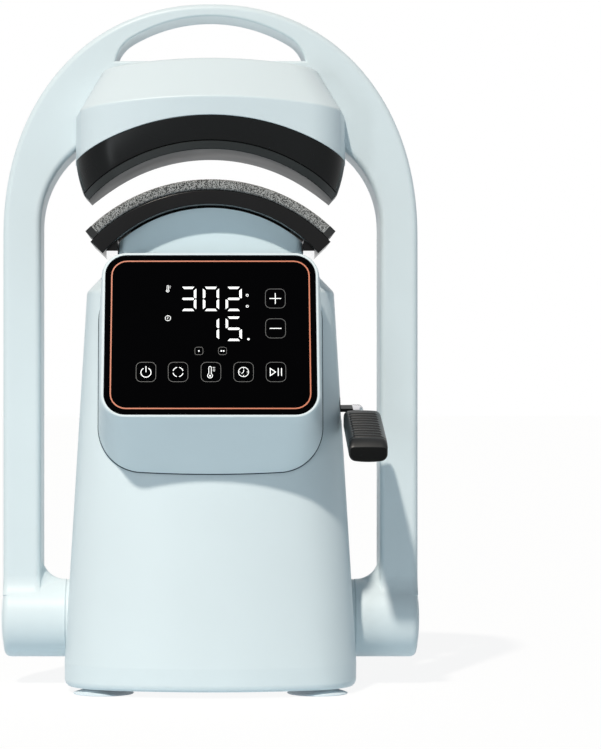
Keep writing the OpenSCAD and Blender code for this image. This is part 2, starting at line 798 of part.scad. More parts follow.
// Outline of the black skirt, which tapers from its top edge to the lip
function skirt_ring(d) =
    let (y1 = platen_back_y + 5 - 0.5 * d)
    flared_ring(
        head_half_w + 0.1 - d, head_front_y + 1 + 0.55 * d, y1 - 23, skirt_corner_r, y1, 600, 18
    );

module head_skirt() color(black) loft([
    raised(skirt_ring(3), function(x) seam_at(x) - 2.6),
    raised(skirt_ring(8.2), function(x) lip_at(x)),
    raised(skirt_ring(5.7), function(x) lip_at(x)),
    raised(skirt_ring(0), function(x) seam_at(x) - seat)
]);

// Top of the platen's body, over its lip
body_r = lip_r + 2.9;

// Hollow cast platen: a lip that shows under the skirt, and a thicker body inside it
module heat_platen() color([0.4, 0.42, 0.43]) {
    intersection() {
        ring_slice(platen_z, platen_r, lip_r, platen_front_y - 10, platen_back_y + 10, 44.2);
        translate([0, 0, 280]) linear_extrude(120) polygon(skirt_ring(6));
    }
    intersection() {
        ring_slice(platen_z, lip_r - 1, body_r, platen_front_y - 10, platen_back_y + 10, 38.5);
        translate([0, 0, 280]) linear_extrude(120) polygon(skirt_ring(10));
    }
}

bar_r = body_r + 3.4;
module heating_bars() color([0.55, 0.5, 0.45]) for (y = [-26, 0, 26]) {
    translate([0, platen_y + y, platen_z]) rotate([90, 0, 0]) rotate([0, 0, 57])
        rotate_extrude(angle = 66) translate([bar_r, 0]) circle(3);
}

module insulation_blanket() color([0.9, 0.88, 0.8])
    ring_slice(platen_z, bar_r + 3.3, bar_r + 6, platen_front_y + 6, platen_back_y - 4, 29);

module thermostat() color([0.2, 0.2, 0.22]) translate([0, platen_y + 13, platen_z + body_r + seat]) {
    cylinder(h = 4, r = 6);
}

module head_bolts() color(steel) head_bolt_places() {
    translate([0, channel_y + seat + spine_t + seat - frame_front_y, 0]) rotate([-90, 0, 0])
        cylinder(h = 5, r = 5.5, $fn = 6);
    translate([0, channel_y + seat + spine_t + 2 * seat - frame_front_y, 0]) rotate([90, 0, 0])
        cylinder(h = 28, r = 3);
}

// Lower platen and its carriage

neck_bottom_z = 232;
neck_top_r = arch_inner_r - 1.4;

module neck_profile(d) {
    intersection() {
        translate([0, arch_inner_z]) circle(neck_top_r - d);
        translate([-neck_half_w + d, neck_bottom_z - over]) square([2 * (neck_half_w - d), 100]);
    }
}

module neck_plan() {
    b = 4;
    x = neck_half_w;
    y0 = neck_front_y;
    y1 = neck_back_y;
    polygon([
        [b - x, y0], [x - b, y0], [x, y0 + b], [x, y1 - b],
        [x - b, y1], [b - x, y1], [-x, y1 - b], [-x, y0 + b]
    ]);
}

module neck_shell() color(blue) difference() {
    intersection() {
        front_plate(neck_front_y, neck_back_y) neck_profile(0);
        translate([0, 0, neck_bottom_z]) linear_extrude(100) neck_plan();
    }
    front_plate(neck_front_y + wall, neck_back_y - wall) neck_profile(wall);
}

module arch_sector(a) {
    reach = 200;
    polygon([[0, pad_z], [-reach * tan(a), pad_z + reach], [reach * tan(a), pad_z + reach]]);
}

// Black arch that carries the pad, with a set-back web on each side of the neck
module platen_arch() color(black) {
    front_plate(platen_front_y, platen_back_y) intersection() {
        difference() {
            translate([0, pad_z]) circle(arch_r, $fn = 200);
            translate([0, arch_inner_z]) circle(arch_inner_r, $fn = 200);
        }
        arch_sector(arch_angle);
    }
    front_plate(platen_front_y + 8, platen_back_y - 8) intersection() {
        translate([0, arch_inner_z]) circle(arch_inner_r + 1, $fn = 200);
        both_sides() translate([neck_half_w + 0.4, under_z + under_t + seat]) square([20, 20]);
        arch_sector(arch_angle - 1);
    }
}

module gasket_profile() {
    intersection() {
        translate([0, arch_inner_z]) difference() {
            circle(arch_inner_r - seat);
            circle(neck_top_r + seat);
        }
        translate([-50, 290]) square([100, 30]);
    }
}

module platen_gasket() color([0.05, 0.05, 0.05]) front_plate(neck_front_y + 6, neck_back_y - 6)
    gasket_profile();

// Turn a section of the pad's layer about the platens' axis, over an angle that starts at a0 from the right
module pad_turn(a0, angle) {
    translate([0, platen_back_y - 0.5, pad_z]) rotate([90, 0, 0]) rotate([0, 0, a0])
        rotate_extrude(angle = angle) translate([pad_r - pad_t / 2, (platen_depth - 1) / 2]) children();
}

// Foam pad with rounded long edges
module platen_pad() color([0.47, 0.48, 0.48]) pad_turn(90 - pad_angle + 2.4, 2 * (pad_angle - 2.4))
    rounded_box(pad_t, platen_depth - 1, 1.6);

// Strips that hold the pad's ends
module pad_end_strips() color(black) both_sides() pad_turn(90 - pad_angle - 0.3, 2.5)
    square([pad_t, platen_depth - 1], center = true);

under_z = 277.2;
under_t = 1.9;
under_half_w = 65.4;
under_inset = 7;
// Plated sheet under the arch, open to the front round the neck, with a tick turned down at each end
module platen_under_plate() color([0.8, 0.78, 0.82]) {
    difference() {
        translate([-under_half_w, platen_front_y + under_inset, under_z])
            cube([2 * under_half_w, platen_depth - 2 * under_inset, under_t]);
        translate([-neck_half_w - 0.2, platen_front_y, under_z - over])
            cube([2 * neck_half_w + 0.4, neck_back_y - platen_front_y + 0.2, under_t + 2 * over]);
    }
    both_sides() translate([under_half_w - 1.2, platen_front_y + under_inset, under_z - 2.6])
        cube([1.2, platen_depth - 2 * under_inset, 3]);
}

roller_z = 202;
roller_r = 7;
roller_w = 13;
fork_in_x = 8;
fork_out_x = 12;

module lift_block() color(steel) difference() {
    union() {
        translate([-neck_half_w + wall + 0.2, neck_front_y + wall + 0.2, block_z])
            cube([2 * (neck_half_w - wall - 0.2), neck_back_y - neck_front_y - 2 * wall - 0.4, block_t]);
        both_sides() translate([fork_in_x, shaft_y - 8, roller_z - 8])
            cube([fork_out_x - fork_in_x, 16, block_z - roller_z + 9]);
    }
    rod_places() translate([0, 0, block_z - over]) cylinder(h = block_t + 2 * over, r = 7);
    translate([0, shaft_y, roller_z]) rod_x(-20, 20, 3 + run_gap);
}

module slide_bushes() color([0.75, 0.6, 0.35]) rod_places() translate([0, 0, block_z - 2]) difference() {
    cylinder(h = block_t + 2, r = 7 - run_gap);
    cylinder(h = 60, r = rod_r + run_gap, center = true);
}

module roller_pin() color(chrome) translate([0, shaft_y, roller_z]) rod_x(-fork_out_x - 1, fork_out_x + 1, 3);

module follower_roller() color(chrome) translate([0, shaft_y, roller_z])
    tube_x(-roller_w / 2, roller_w / 2, roller_r, 3 + run_gap);

// Lever

tang_w = 10;
tang_t = 2.2;
cam_w = 12;
cam_gap = 0.3;
cam_lead = 15;
cam_hub_r = 10;
cam_rate = lift / lever_turn;
ring_t = 1.6;

// Frame of the resting lever: +X stays, +Y runs along the lever towards its end, +Z out of its top
module on_lever() {
    translate([0, shaft_y, shaft_z]) rotate([droop, 0, 0]) rotate([0, 0, 180]) mirror([1, 0, 0]) children();
}

// Edge of the cam under the roller when the lever has turned by a, seen with +Y as x and +Z as y
function cam_edge(a) =
    let (r = roller_z - shaft_z + cam_rate * a, rate = cam_rate * 180 / PI)
    let (out = [-sin(a), cos(a)], along = [-cos(a), -sin(a)])
    r * out + (roller_r + cam_gap) * (rate * along - r * out) / norm([r, rate]);

// Cam of steady rise, from a little before the rest place to a little past the pressed one
module press_cam() color(steel) translate([-cam_w / 2, shaft_y, shaft_z]) difference() {
    rotate([90, 0, 90]) linear_extrude(cam_w) {
        polygon(concat([[0, 0]], [for (a = [-cam_lead:5:lever_turn + 10]) cam_edge(a)]));
        circle(cam_hub_r);
    }
    rod_x(-over, cam_w + over, shaft_r + run_gap);
    translate([cam_w / 2, 0, 0]) rotate([180, 0, 0]) cylinder(h = 20, r = 2.05);
}

module cam_screw() color(black) translate([0, shaft_y, shaft_z - shaft_r - run_gap - seat])
    rotate([180, 0, 0]) cylinder(h = 4, r = 2);

module lever_shaft() color(black) {
    translate([0, shaft_y, shaft_z]) rod_x(-76, 80, shaft_r);
    on_lever() translate([78, -tang_w / 2, -tang_t / 2]) cube([arm_x - 78 - seat, tang_w, tang_t]);
}

module retaining_rings() color(steel) translate([0, shaft_y, shaft_z]) for (x = [-74.4, 72.6]) {
    tube_x(x, x + ring_t, shaft_r + 3, shaft_r + run_gap);
}

arm_x = 91;
arm_w = 9;
arm_t = 4;
grip_u = 9;
grip_v = -5.2;
arm_v = grip_v - arm_t / 2;
knuckle_w = 7.2;
knuckle_h = 1.4 - arm_v;
knuckle_r = 3.4;
knuckle_back = 6;

// Section of the knuckle across the lever, with one corner rounded over
module knuckle_profile() translate([arm_x, arm_v]) {
    square([knuckle_w - knuckle_r, knuckle_h]);
    square([knuckle_w, knuckle_h - knuckle_r]);
    translate([knuckle_w - knuckle_r, knuckle_h - knuckle_r]) circle(knuckle_r);
}

// Plated knuckle on the shaft's end, with a flat arm that runs forward into the grip
module lever_arm() color(chrome) on_lever() {
    translate([0, -knuckle_back, 0]) mirror([0, 1, 0]) rotate([90, 0, 0])
        linear_extrude(grip_u + knuckle_back - 0.2) knuckle_profile();
    translate([grip_x - arm_w / 2, 0, arm_v]) cube([arm_w, 44, arm_t]);
}

// Section of the grip at u along the lever, drawn in by d
function grip_section(u, d) =
    [for (p = ring(grip_w / 2 - d, -grip_h / 2 + d, grip_h / 2 - d, 60, 4.6 - d * 0.6, 90, 3.6 - d * 0.5))
        [grip_x - p[0], u, grip_v + p[1]]];

module lever_grip() color(black) on_lever() difference() {
    union() {
        loft([
            grip_section(grip_u, 2.4), grip_section(grip_u + 0.9, 1.1), grip_section(grip_u + 3, 0.3),
            grip_section(grip_u + 6, 0), grip_section(grip_u + grip_len - 5, 0),
            grip_section(grip_u + grip_len - 2, 0.5), grip_section(grip_u + grip_len - 0.6, 1.5),
            grip_section(grip_u + grip_len, 2.8)
        ]);
        for (i = [0:rib_count - 1]) {
            translate([0, grip_u + 14 + i * 5.4, grip_v + grip_h / 2 - 0.9])
                rod_x(grip_x - 8, grip_x + 8, 1.5);
        }
    }
    translate([grip_x - arm_w / 2 - 0.2, grip_u - over, arm_v - 0.2]) cube([arm_w + 0.4, 37, arm_t + 0.4]);
}

tower_shell();
rear_cover();
rear_cover_screws();
base_plate();
suction_feet();
foot_nuts();
console_pod();
glass_panel();
display_board();
power_board();
mains_inlet();
chassis_plates();
hinge_stubs();
spring_washers();
lock_nuts();
shaft_bushes();
shaft_grommet();
rod_bridges();
guide_rods();
rod_collars();
return_springs();
frame_arch();
frame_spine();
frame_back_cover();
back_cover_screws();
hinge_bushes();
friction_discs();
boss_caps();
head_housing();
head_skirt();
heat_platen();
heating_bars();
insulation_blanket();
thermostat();
head_bolts();
neck_shell();
platen_arch();
platen_gasket();
platen_pad();
pad_end_strips();
platen_under_plate();
lift_block();
slide_bushes();
roller_pin();
follower_roller();
lever_shaft();
press_cam();
cam_screw();
lever_arm();
lever_grip();
retaining_rings();
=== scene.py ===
"""Looks of a cap heat press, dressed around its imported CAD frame.

The classes hold their sizes in millimetres and build in the frame's own axes: +Z up, front towards -Y,
origin on the floor under the middle of the machine.
"""

import logging
import math
from collections.abc import Callable, Sequence
from dataclasses import dataclass, field
from enum import Enum

import bmesh
import bpy
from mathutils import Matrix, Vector, noise


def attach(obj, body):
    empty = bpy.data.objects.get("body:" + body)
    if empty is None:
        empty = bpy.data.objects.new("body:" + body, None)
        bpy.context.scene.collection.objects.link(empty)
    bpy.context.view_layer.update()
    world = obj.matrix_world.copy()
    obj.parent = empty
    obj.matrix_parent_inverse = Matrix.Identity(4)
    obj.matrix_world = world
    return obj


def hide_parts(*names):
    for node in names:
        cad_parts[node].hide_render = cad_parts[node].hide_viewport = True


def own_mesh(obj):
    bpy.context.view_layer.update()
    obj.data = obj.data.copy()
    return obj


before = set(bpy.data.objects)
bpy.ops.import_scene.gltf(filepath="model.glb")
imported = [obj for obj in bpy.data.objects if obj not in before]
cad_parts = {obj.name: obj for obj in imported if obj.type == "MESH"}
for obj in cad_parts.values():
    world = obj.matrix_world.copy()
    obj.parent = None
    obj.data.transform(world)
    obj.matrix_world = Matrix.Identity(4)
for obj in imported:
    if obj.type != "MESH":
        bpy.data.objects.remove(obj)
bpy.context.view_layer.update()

LOG = logging.getLogger("cap_press")
MM = 0.001
SIDES = (-1, 1)
HINGE = Vector((0, 30, 43))
SHAFT = Vector((0, -4, 179.75))

# Radius of an edge that is as good as straight, and how far a rounding may reach along a side
STRAIGHT = 40000.0
NEARLY_HALF = 0.49

# Least length, and the distances in metres at which points merge and slivers go
TINY = 1e-6
MERGE = 2e-6
SLIVER = 1e-7

# Points across half an edge, and angles in degrees above which an edge is hard
PLAN_STEPS = 36
LEAN_STEPS = 90
SHARP = 32.0
ROUND = 40.0
ROUNDER = 50.0

# Lower and upper end of a noise that drifts, of one that jumps, and the least roughness
DRIFT = (0.3, 0.7)
JUMP = (0.46, 0.54)
SMOOTHEST = 0.02

Pair = tuple[float, float]
Colour = tuple[float, float, float]
Flat = list[Pair]
Loop = list[Vector]
Height = Callable[[float], float]
Piece = bpy.types.Object
Tree = bpy.types.NodeTree
Node = bpy.types.Node
Socket = bpy.types.NodeSocket


class Body(Enum):
    """Bodies of the frame that pieces ride on."""

    BASE = "base"
    FRAME = "frame"
    LIFT = "lift"
    LEVER = "lever"


class Cap(Enum):
    """How the ends of a loft are closed."""

    STRIP = "strip"
    FACE = "face"


class Join(Enum):
    """How solids are put together."""

    UNION = "UNION"
    CUT = "DIFFERENCE"


class Grain(Enum):
    """Surface character of a finish."""

    MOULDED = "moulded"
    SPECKLED = "speckled"
    BRUSHED = "brushed"


# Finishes


def linear(colour: tuple[int, int, int], gain: float = 1.0) -> tuple[float, float, float, float]:
    """Turn an sRGB colour of 0 to 255 into linear light.

    Args:
        colour: red, green and blue, 0 to 255.
        gain: factor on the linear values.

    Returns:
        Linear red, green, blue and full alpha.
    """
    made = []
    for part in colour:
        value = part / 255
        light = value / 12.92 if value <= 0.04045 else ((value + 0.055) / 1.055) ** 2.4
        made.append(min(1.0, light * gain))
    return (made[0], made[1], made[2], 1.0)


@dataclass(frozen=True)
class Finish:
    """One finish, made of procedural nodes.

    Fields are the colour in sRGB, the roughness, and how colour, roughness and relief vary over the surface.
    """

    name: str
    slot: str
    colour: tuple[int, int, int]
    rough: float
    grain: Grain = Grain.MOULDED
    metal: float = 0.0
    specular: float = 0.5
    vary: float = 0.03
    spread: float = 0.04
    fine: float = 1800.0
    broad: float = 22.0
    relief: float = 0.006
    glow: float = 0.0

    def material(self) -> bpy.types.Material:
        """Build the material once and hand it out again later.

        Returns:
            The material of this finish.
        """
        label = f"{self.name}_finish"
        known = bpy.data.materials.get(label)
        if known is not None:
            return known
        made = bpy.data.materials.new(label)
        made.use_nodes = True
        tree = made.node_tree
        shader = tree.nodes["Principled BSDF"]
        shader.inputs["Metallic"].default_value = self.metal
        shader.inputs["Specular IOR Level"].default_value = self.specular
        if self.glow > 0:
            shader.inputs["Emission Color"].default_value = linear(self.colour)
            shader.inputs["Emission Strength"].default_value = self.glow
        place = tree.nodes.new("ShaderNodeTexCoord").outputs["Object"]
        if self.grain is Grain.BRUSHED:
            stretch = tree.nodes.new("ShaderNodeMapping")
            stretch.inputs["Scale"].default_value = (0.05, 1.0, 1.0)
            tree.links.new(place, stretch.inputs["Vector"])
            place = stretch.outputs["Vector"]
        fine = self._noise(tree, place, self.fine, 3.0)
        broad = self._noise(tree, place, self.broad, 2.0)
        self._colour(tree, shader, fine if self.grain is Grain.SPECKLED else broad)
        self._roughness(tree, shader, fine if self.grain is Grain.BRUSHED else broad)
        self._relief(tree, shader, fine)
        return made

    def _noise(self, tree: Tree, place: Socket, scale: float, detail: float) -> Socket:
        """Add one noise.

        Args:
            tree: the material's nodes.
            place: where the pattern sits.
            scale: how fine the pattern is.
            detail: how many octaves it has.

        Returns:
            The noise's value.
        """
        node = tree.nodes.new("ShaderNodeTexNoise")
        node.inputs["Scale"].default_value = scale
        node.inputs["Detail"].default_value = detail
        tree.links.new(place, node.inputs["Vector"])
        return node.outputs["Fac"]

    def _colour(self, tree: Tree, shader: Node, value: Socket) -> None:
        """Let the colour drift with a noise, or jump with it where the finish is speckled.

        Args:
            tree: the material's nodes.
            shader: its shader.
            value: the noise.
        """
        ramp = tree.nodes.new("ShaderNodeValToRGB")
        ramp.color_ramp.interpolation = "EASE"
        first, last = ramp.color_ramp.elements
        first.position, last.position = JUMP if self.grain is Grain.SPECKLED else DRIFT
        first.color = linear(self.colour, 1 - self.vary)
        last.color = linear(self.colour, 1 + self.vary)
        tree.links.new(value, ramp.inputs["Fac"])
        tree.links.new(ramp.outputs["Color"], shader.inputs["Base Color"])

    def _roughness(self, tree: Tree, shader: Node, value: Socket) -> None:
        """Let the roughness drift with a noise.

        Args:
            tree: the material's nodes.
            shader: its shader.
            value: the noise.
        """
        span = tree.nodes.new("ShaderNodeMapRange")
        span.inputs["From Min"].default_value, span.inputs["From Max"].default_value = DRIFT
        span.inputs["To Min"].default_value = max(SMOOTHEST, self.rough - self.spread)
        span.inputs["To Max"].default_value = min(1.0, self.rough + self.spread)
        tree.links.new(value, span.inputs["Value"])
        tree.links.new(span.outputs["Result"], shader.inputs["Roughness"])

    def _relief(self, tree: Tree, shader: Node, value: Socket) -> None:
        """Raise the fine grain, by the finish's relief in millimetres.

        Args:
            tree: the material's nodes.
            shader: its shader.
            value: the noise.
        """
        bump = tree.nodes.new("ShaderNodeBump")
        bump.inputs["Distance"].default_value = self.relief * MM
        tree.links.new(value, bump.inputs["Height"])
        tree.links.new(bump.outputs["Normal"], shader.inputs["Normal"])


BLUE = Finish(
    "pale_blue_plastic", "blue_plastic", (222, 233, 237), 0.37, specular=0.28, vary=0.006, spread=0.015,
    relief=0.003
)
# Same pale blue plastic as the body, its colour raised as painted light so the neck's shade under the arch
# reads lighter and bluer
BLUE_PAINTED_LIGHTER = Finish(
    "pale_blue_painted_lighter", "blue_plastic", (229, 247, 254), 0.37, specular=0.28, vary=0.006, spread=0.015,
    relief=0.003
)
BLACK = Finish("black_plastic", "black_plastic", (20, 22, 23), 0.42, specular=0.15, vary=0.10)
GRIP = Finish("grip_plastic", "black_plastic", (20, 22, 23), 0.36, specular=0.26, vary=0.12, relief=0.02)
PLUG = Finish("plug_plastic", "black_plastic", (9, 10, 10), 0.5, specular=0.1, vary=0.10)
SKIRT = Finish("skirt_plastic", "black_plastic", (16, 18, 19), 0.27, specular=0.14, vary=0.10)
ARCH = Finish("arch_plastic", "black_plastic", (17, 17, 18), 0.19, specular=0.17, vary=0.10, relief=0.004)
PLATEN = Finish(
    "coated_platen", "cast_aluminium", (84, 88, 91), 0.42, specular=0.15, vary=0.05, fine=900.0, relief=0.01
)
LIP = Finish("coated_lip", "cast_aluminium", (34, 38, 39), 0.45, specular=0.2, vary=0.06, relief=0.01)
GLASS = Finish(
    "panel_glass", "panel_glass", (1, 1, 2), 0.07, specular=0.016, vary=0.2, spread=0.03, broad=9.0,
    relief=0.0
)
PAD = Finish(
    "speckled_foam", "pad_foam", (132, 132, 131), 0.92, Grain.SPECKLED, specular=0.15, vary=0.85, relief=0.08
)
END_STRIP = Finish("pad_end_strip", "black_plastic", (28, 30, 31), 0.5, specular=0.3, vary=0.12)
PLATED = Finish(
    "plated_steel", "plated_steel", (214, 213, 216), 0.16, Grain.BRUSHED, 1.0, vary=0.04, spread=0.06,
    fine=900.0
)
POLISHED = Finish(
    "polished_sheet", "plated_steel", (246, 246, 247), 0.08, Grain.BRUSHED, 1.0, vary=0.01, spread=0.03,
    fine=900.0
)
STEEL = Finish(
    "plain_steel", "steel", (188, 190, 193), 0.34, Grain.BRUSHED, 1.0, vary=0.06, spread=0.08, fine=700.0
)
BRONZE = Finish("bearing_bronze", "bearing_bronze", (190, 150, 92), 0.38, metal=1.0, vary=0.08)
# Grey rubber painted nearly white: painted light that lifts the feet out of the tower's shade
FEET_PAINTED_LIGHTER = Finish("foot_rubber_painted_lighter", "rubber", (232, 243, 249), 0.5, specular=0.3, vary=0.05, relief=0.015)
DARK_RUBBER = Finish("dark_rubber", "rubber", (22, 23, 24), 0.7, specular=0.25, vary=0.12, relief=0.02)
# Dark blue-grey strip for the pod's seam: painted shade standing in for the seam's shadow line
SEAM_SHADE = Finish("seam_shade_rubber", "rubber", (30, 50, 66), 0.6, specular=0.2, vary=0.12, relief=0.02)
BOARD = Finish("circuit_board", "board", (38, 96, 60), 0.55, vary=0.10, fine=400.0, relief=0.02)
BLANKET = Finish(
    "woven_blanket", "blanket", (228, 222, 204), 0.95, Grain.SPECKLED, specular=0.1, vary=0.12, relief=0.3
)
WHITE_MARK = Finish("lit_marks", "panel_glass", (240, 242, 242), 0.4, vary=0.02, glow=0.55)
GREY_MARK = Finish("key_outlines", "panel_glass", (58, 60, 61), 0.4, vary=0.05, glow=0.2)
ORANGE_MARK = Finish("border_line", "panel_glass", (184, 98, 62), 0.35, vary=0.05, glow=0.22)


# Curves and rings


def edge_depth(x: float, half: float, edge: float, bulge: float, corner: float) -> float:
    """Depth of an outline's edge: a wide bulge that runs into round corners.

    Args:
        x: place across the outline.
        half: half width of the outline.
        edge: depth of the edge at its middle.
        bulge: radius of the bulge.
        corner: radius of the corners.

    Returns:
        Depth of the edge at x.
    """
    cx = half - corner
    cy = bulge - math.sqrt((bulge - corner) ** 2 - cx**2)
    if abs(x) <= cx * bulge / (bulge - corner):
        return edge + bulge - math.sqrt(bulge**2 - x**2)
    return edge + cy - math.sqrt(max(0.0, corner**2 - (abs(x) - cx) ** 2))


@dataclass(frozen=True)
class Plan:
    """Outline with a bulged front edge and a back edge, its points at the same x on both."""

    half: float
    front: float
    back: float
    bulge: float = STRAIGHT
    corner: float = 1.0
    back_bulge: float = STRAIGHT
    back_corner: float = 1.0
    lean: float = 0.0
    wide: float = 0.0
    side_run: float = 10.0

    def front_at(self, x: float) -> float:
        """Depth of the front edge, where the sides lean out to the full width at one depth.

        Args:
            x: place across the outline.

        Returns:
            Depth of the edge at x.
        """
        if self.lean == 0:
            return edge_depth(x, self.half, self.front, self.bulge, self.corner)
        turn = self.half - self.lean * (self.wide - self.front - self.side_run - self.corner)
        near = edge_depth(min(abs(x), turn), turn, self.front, self.bulge, self.corner)
        return max(near, self.wide - (self.half - abs(x)) / self.lean)

    def back_at(self, x: float) -> float:
        """Depth of the back edge."""
        return -edge_depth(x, self.half, -self.back, self.back_bulge, self.back_corner)

    def outline(self, steps: int) -> Flat:
        """Points round the outline, anticlockwise, with a number of steps across half of one edge."""
        xs = [self.half * math.sin(math.pi / 2 * i / steps) for i in range(-steps, steps + 1)]
        return [(x, self.front_at(x)) for x in xs] + [(x, self.back_at(x)) for x in reversed(xs)]

    def at(self, height: float | Height) -> Loop:
        """Ring of the outline at a height.

        Args:
            height: one height, or a height for each place across.

        Returns:
            The ring.
        """
        rise = height if callable(height) else lambda _x: height
        steps = PLAN_STEPS if self.lean == 0 else LEAN_STEPS
        return [Vector((x, y, rise(x))) for x, y in self.outline(steps)]


def rounded_plan(half: float, front: float, back: float, corner: float) -> Plan:
    """Plain outline with straight edges and four equal corners."""
    return Plan(half, front, back, STRAIGHT, corner, STRAIGHT, corner)


def raised(height: Height, up: float) -> Height:
    """Height for each place across, moved up."""
    return lambda x: height(x) + up


def arc(cx: float, cy: float, radius: float, start: float, end: float, steps: int) -> Flat:
    """Points along an arc about a centre, in steps from a start to an end angle in degrees."""
    turns = [math.radians(start + (end - start) * i / steps) for i in range(steps + 1)]
    return [(cx + radius * math.cos(t), cy + radius * math.sin(t)) for t in turns]


def three_arcs(half: float, rise: float, foot: float, shoulder: float, steps: int) -> Flat:
    """Arch of three arcs from the left foot to the right.

    Args:
        half: half width at the feet.
        rise: height of the top above the feet.
        foot: height of the feet.
        shoulder: radius of the shoulders.
        steps: steps of each shoulder and of half the top.

    Returns:
        The points in the plane.
    """
    top = (half**2 + rise**2 - 2 * half * shoulder) / (2 * (rise - shoulder))
    join = math.degrees(math.atan2(half - shoulder, top - rise))
    left = arc(shoulder - half, foot, shoulder, 180, 90 + join, steps)
    middle = arc(0, foot + rise - top, top, 90 + join, 90 - join, 2 * steps)
    right = arc(half - shoulder, foot, shoulder, 90 - join, 0, steps)
    return left + middle[1:-1] + right


def drawn_in(outline: Flat, depth: float, closed: bool = True) -> Flat:
    """Outline drawn in by a depth; its inside lies to the right of the way round.

    Args:
        outline: points in the plane.
        depth: how far it is drawn in; less than 0 draws it out.
        closed: whether the last point joins the first.

    Returns:
        The new points.
    """
    points = [Vector(p) for p in outline]
    last = len(points) - 1
    made = []
    for i, point in enumerate(points):
        before = points[i - 1] if closed or i > 0 else None
        after = points[(i + 1) % len(points)] if closed or i < last else None
        ways = []
        if before is not None:
            ways.append((point - before).normalized())
        if after is not None:
            ways.append((after - point).normalized())
        sides = [Vector((w.y, -w.x)) for w in ways]
        if len(sides) == 1:
            moved = point + sides[0] * depth
        else:
            moved = point + (sides[0] + sides[1]) * (depth / (1 + sides[0].dot(sides[1])))
        made.append((moved.x, moved.y))
    return made


def stood(outline: Flat, y: float) -> Loop:
    """Outline in front view, stood at a depth."""
    return [Vector((x, y, z)) for x, z in outline]


def eased(rings: Sequence[Loop], radii: Sequence[float], steps: int = 5) -> list[Loop]:
    """Round a stack of rings over, point by point, between its two ends.

    Args:
        rings: the rings, all with one count of points.
        radii: how far each ring is rounded over; 0 keeps it sharp.
        steps: steps of each rounding.

    Returns:
        The rings of the rounded stack.
    """
    made: list[Loop] = []
    for j, ring in enumerate(rings):
        if radii[j] <= 0:
            made.append(list(ring))
            continue
        for k in range(steps + 1):
            corners = zip(rings[j - 1], ring, rings[j + 1])
            made.append([bent(a, b, c, radii[j], k / steps) for a, b, c in corners])
    return made


def bent(a: Vector, b: Vector, c: Vector, radius: float, t: float) -> Vector:
    """Point of the curve that rounds the corner b between a and c over.

    Args:
        a: point before the corner.
        b: the corner.
        c: point after the corner.
        radius: how far from the corner the curve starts, at most nearly half the way.
        t: place along the curve, 0 to 1.

    Returns:
        The point.
    """
    p = b.lerp(a, min(NEARLY_HALF, radius / max((a - b).length, TINY)))
    q = b.lerp(c, min(NEARLY_HALF, radius / max((c - b).length, TINY)))
    return p * (1 - t) ** 2 + b * (2 * t * (1 - t)) + q * t**2


def rolled(outline: Flat, depths: Pair, edges: Pair, steps: tuple[int, int], side: int = 1) -> list[Loop]:
    """Rings round an outline in front view, with its front and back edges rounded over.

    Args:
        outline: the outline, clockwise.
        depths: depth of the front and of the back.
        edges: radius of the front edge and of the back edge.
        steps: steps of each rounding.
        side: 1 for a solid's own outline, -1 for an opening in it.

    Returns:
        The rings from the front to the back.
    """
    rings = []
    for k in range(steps[0] + 1):
        t = math.pi / 2 * k / steps[0]
        inset = side * edges[0] * (1 - math.sin(t))
        rings.append(stood(drawn_in(outline, inset), depths[0] + edges[0] * (1 - math.cos(t))))
    for k in range(steps[1] + 1):
        t = math.pi / 2 * k / steps[1]
        inset = side * edges[1] * (1 - math.cos(t))
        rings.append(stood(drawn_in(outline, inset), depths[1] - edges[1] * (1 - math.sin(t))))
    return rings


def sided(outline: Flat, sign: int) -> Flat:
    """Outline in front view, put on one side of the middle."""
    return [(sign * x, z) for x, z in outline]


def both_sides(profile: Flat) -> list[Flat]:
    """Profile of radius and place along x, on the left and on the right."""
    return [[(r, sign * x) for r, x in profile] for sign in SIDES]


# Meshes


@dataclass
class Skin:
    """Points and faces of one piece, in millimetres."""

    points: Loop = field(default_factory=list)
    faces: list[tuple[int, ...]] = field(default_factory=list)

    def walls(self, rings: Sequence[Loop], loop: bool = False) -> list[int]:
        """Add rings and the faces from each to the next.

        Args:
            rings: the rings, all with one count of points.
            loop: whether the last ring joins the first.

        Returns:
            Index of each ring's first point.
        """
        starts = []
        for ring in rings:
            starts.append(len(self.points))
            self.points.extend(ring)
        count = len(rings[0])
        pairs = list(zip(starts, starts[1:]))
        if loop:
            pairs.append((starts[-1], starts[0]))
        for a, b in pairs:
            for i in range(count):
                k = (i + 1) % count
                self.faces.append((a + i, a + k, b + k, b + i))
        return starts

    def loft(self, rings: Sequence[Loop], cap: Cap = Cap.STRIP, loop: bool = False) -> "Skin":
        """Skin a stack of rings.

        Args:
            rings: the rings, all with one count of points.
            cap: how the two ends are closed.
            loop: whether the last ring joins the first instead.

        Returns:
            This skin.
        """
        starts = self.walls(rings, loop)
        if not loop:
            for start in (starts[0], starts[-1]):
                self._close(start, len(rings[0]), cap)
        return self

    def _close(self, start: int, count: int, cap: Cap) -> None:
        """Close one end of a loft.

        Args:
            start: index of the end's first point.
            count: how many points it has.
            cap: how it is closed.
        """
        if cap is Cap.FACE:
            self.faces.append(tuple(range(start, start + count)))
            return
        for k in range(count // 2 - 1):
            self.faces.append((start + k, start + k + 1, start + count - 2 - k, start + count - 1 - k))

    def made(self, name: str, sharp: float = SHARP) -> Piece:
        """Make the object, with its normals outward and only its sharp edges hard.

        Args:
            name: name of the piece.
            sharp: angle in degrees above which an edge is hard.

        Returns:
            The new object, in metres.
        """
        mesh = bpy.data.meshes.new(name)
        mesh.from_pydata([p * MM for p in self.points], [], self.faces)
        cleaned(mesh, outward=True)
        piece = placed(name, mesh)
        smoothed(piece, sharp)
        return piece


def placed(name: str, data: bpy.types.ID) -> Piece:
    """Make an object and put it in the scene.

    Args:
        name: name of the object.
        data: its mesh, light or camera.

    Returns:
        The object.
    """
    made = bpy.data.objects.new(name, data)
    bpy.context.scene.collection.objects.link(made)
    return made


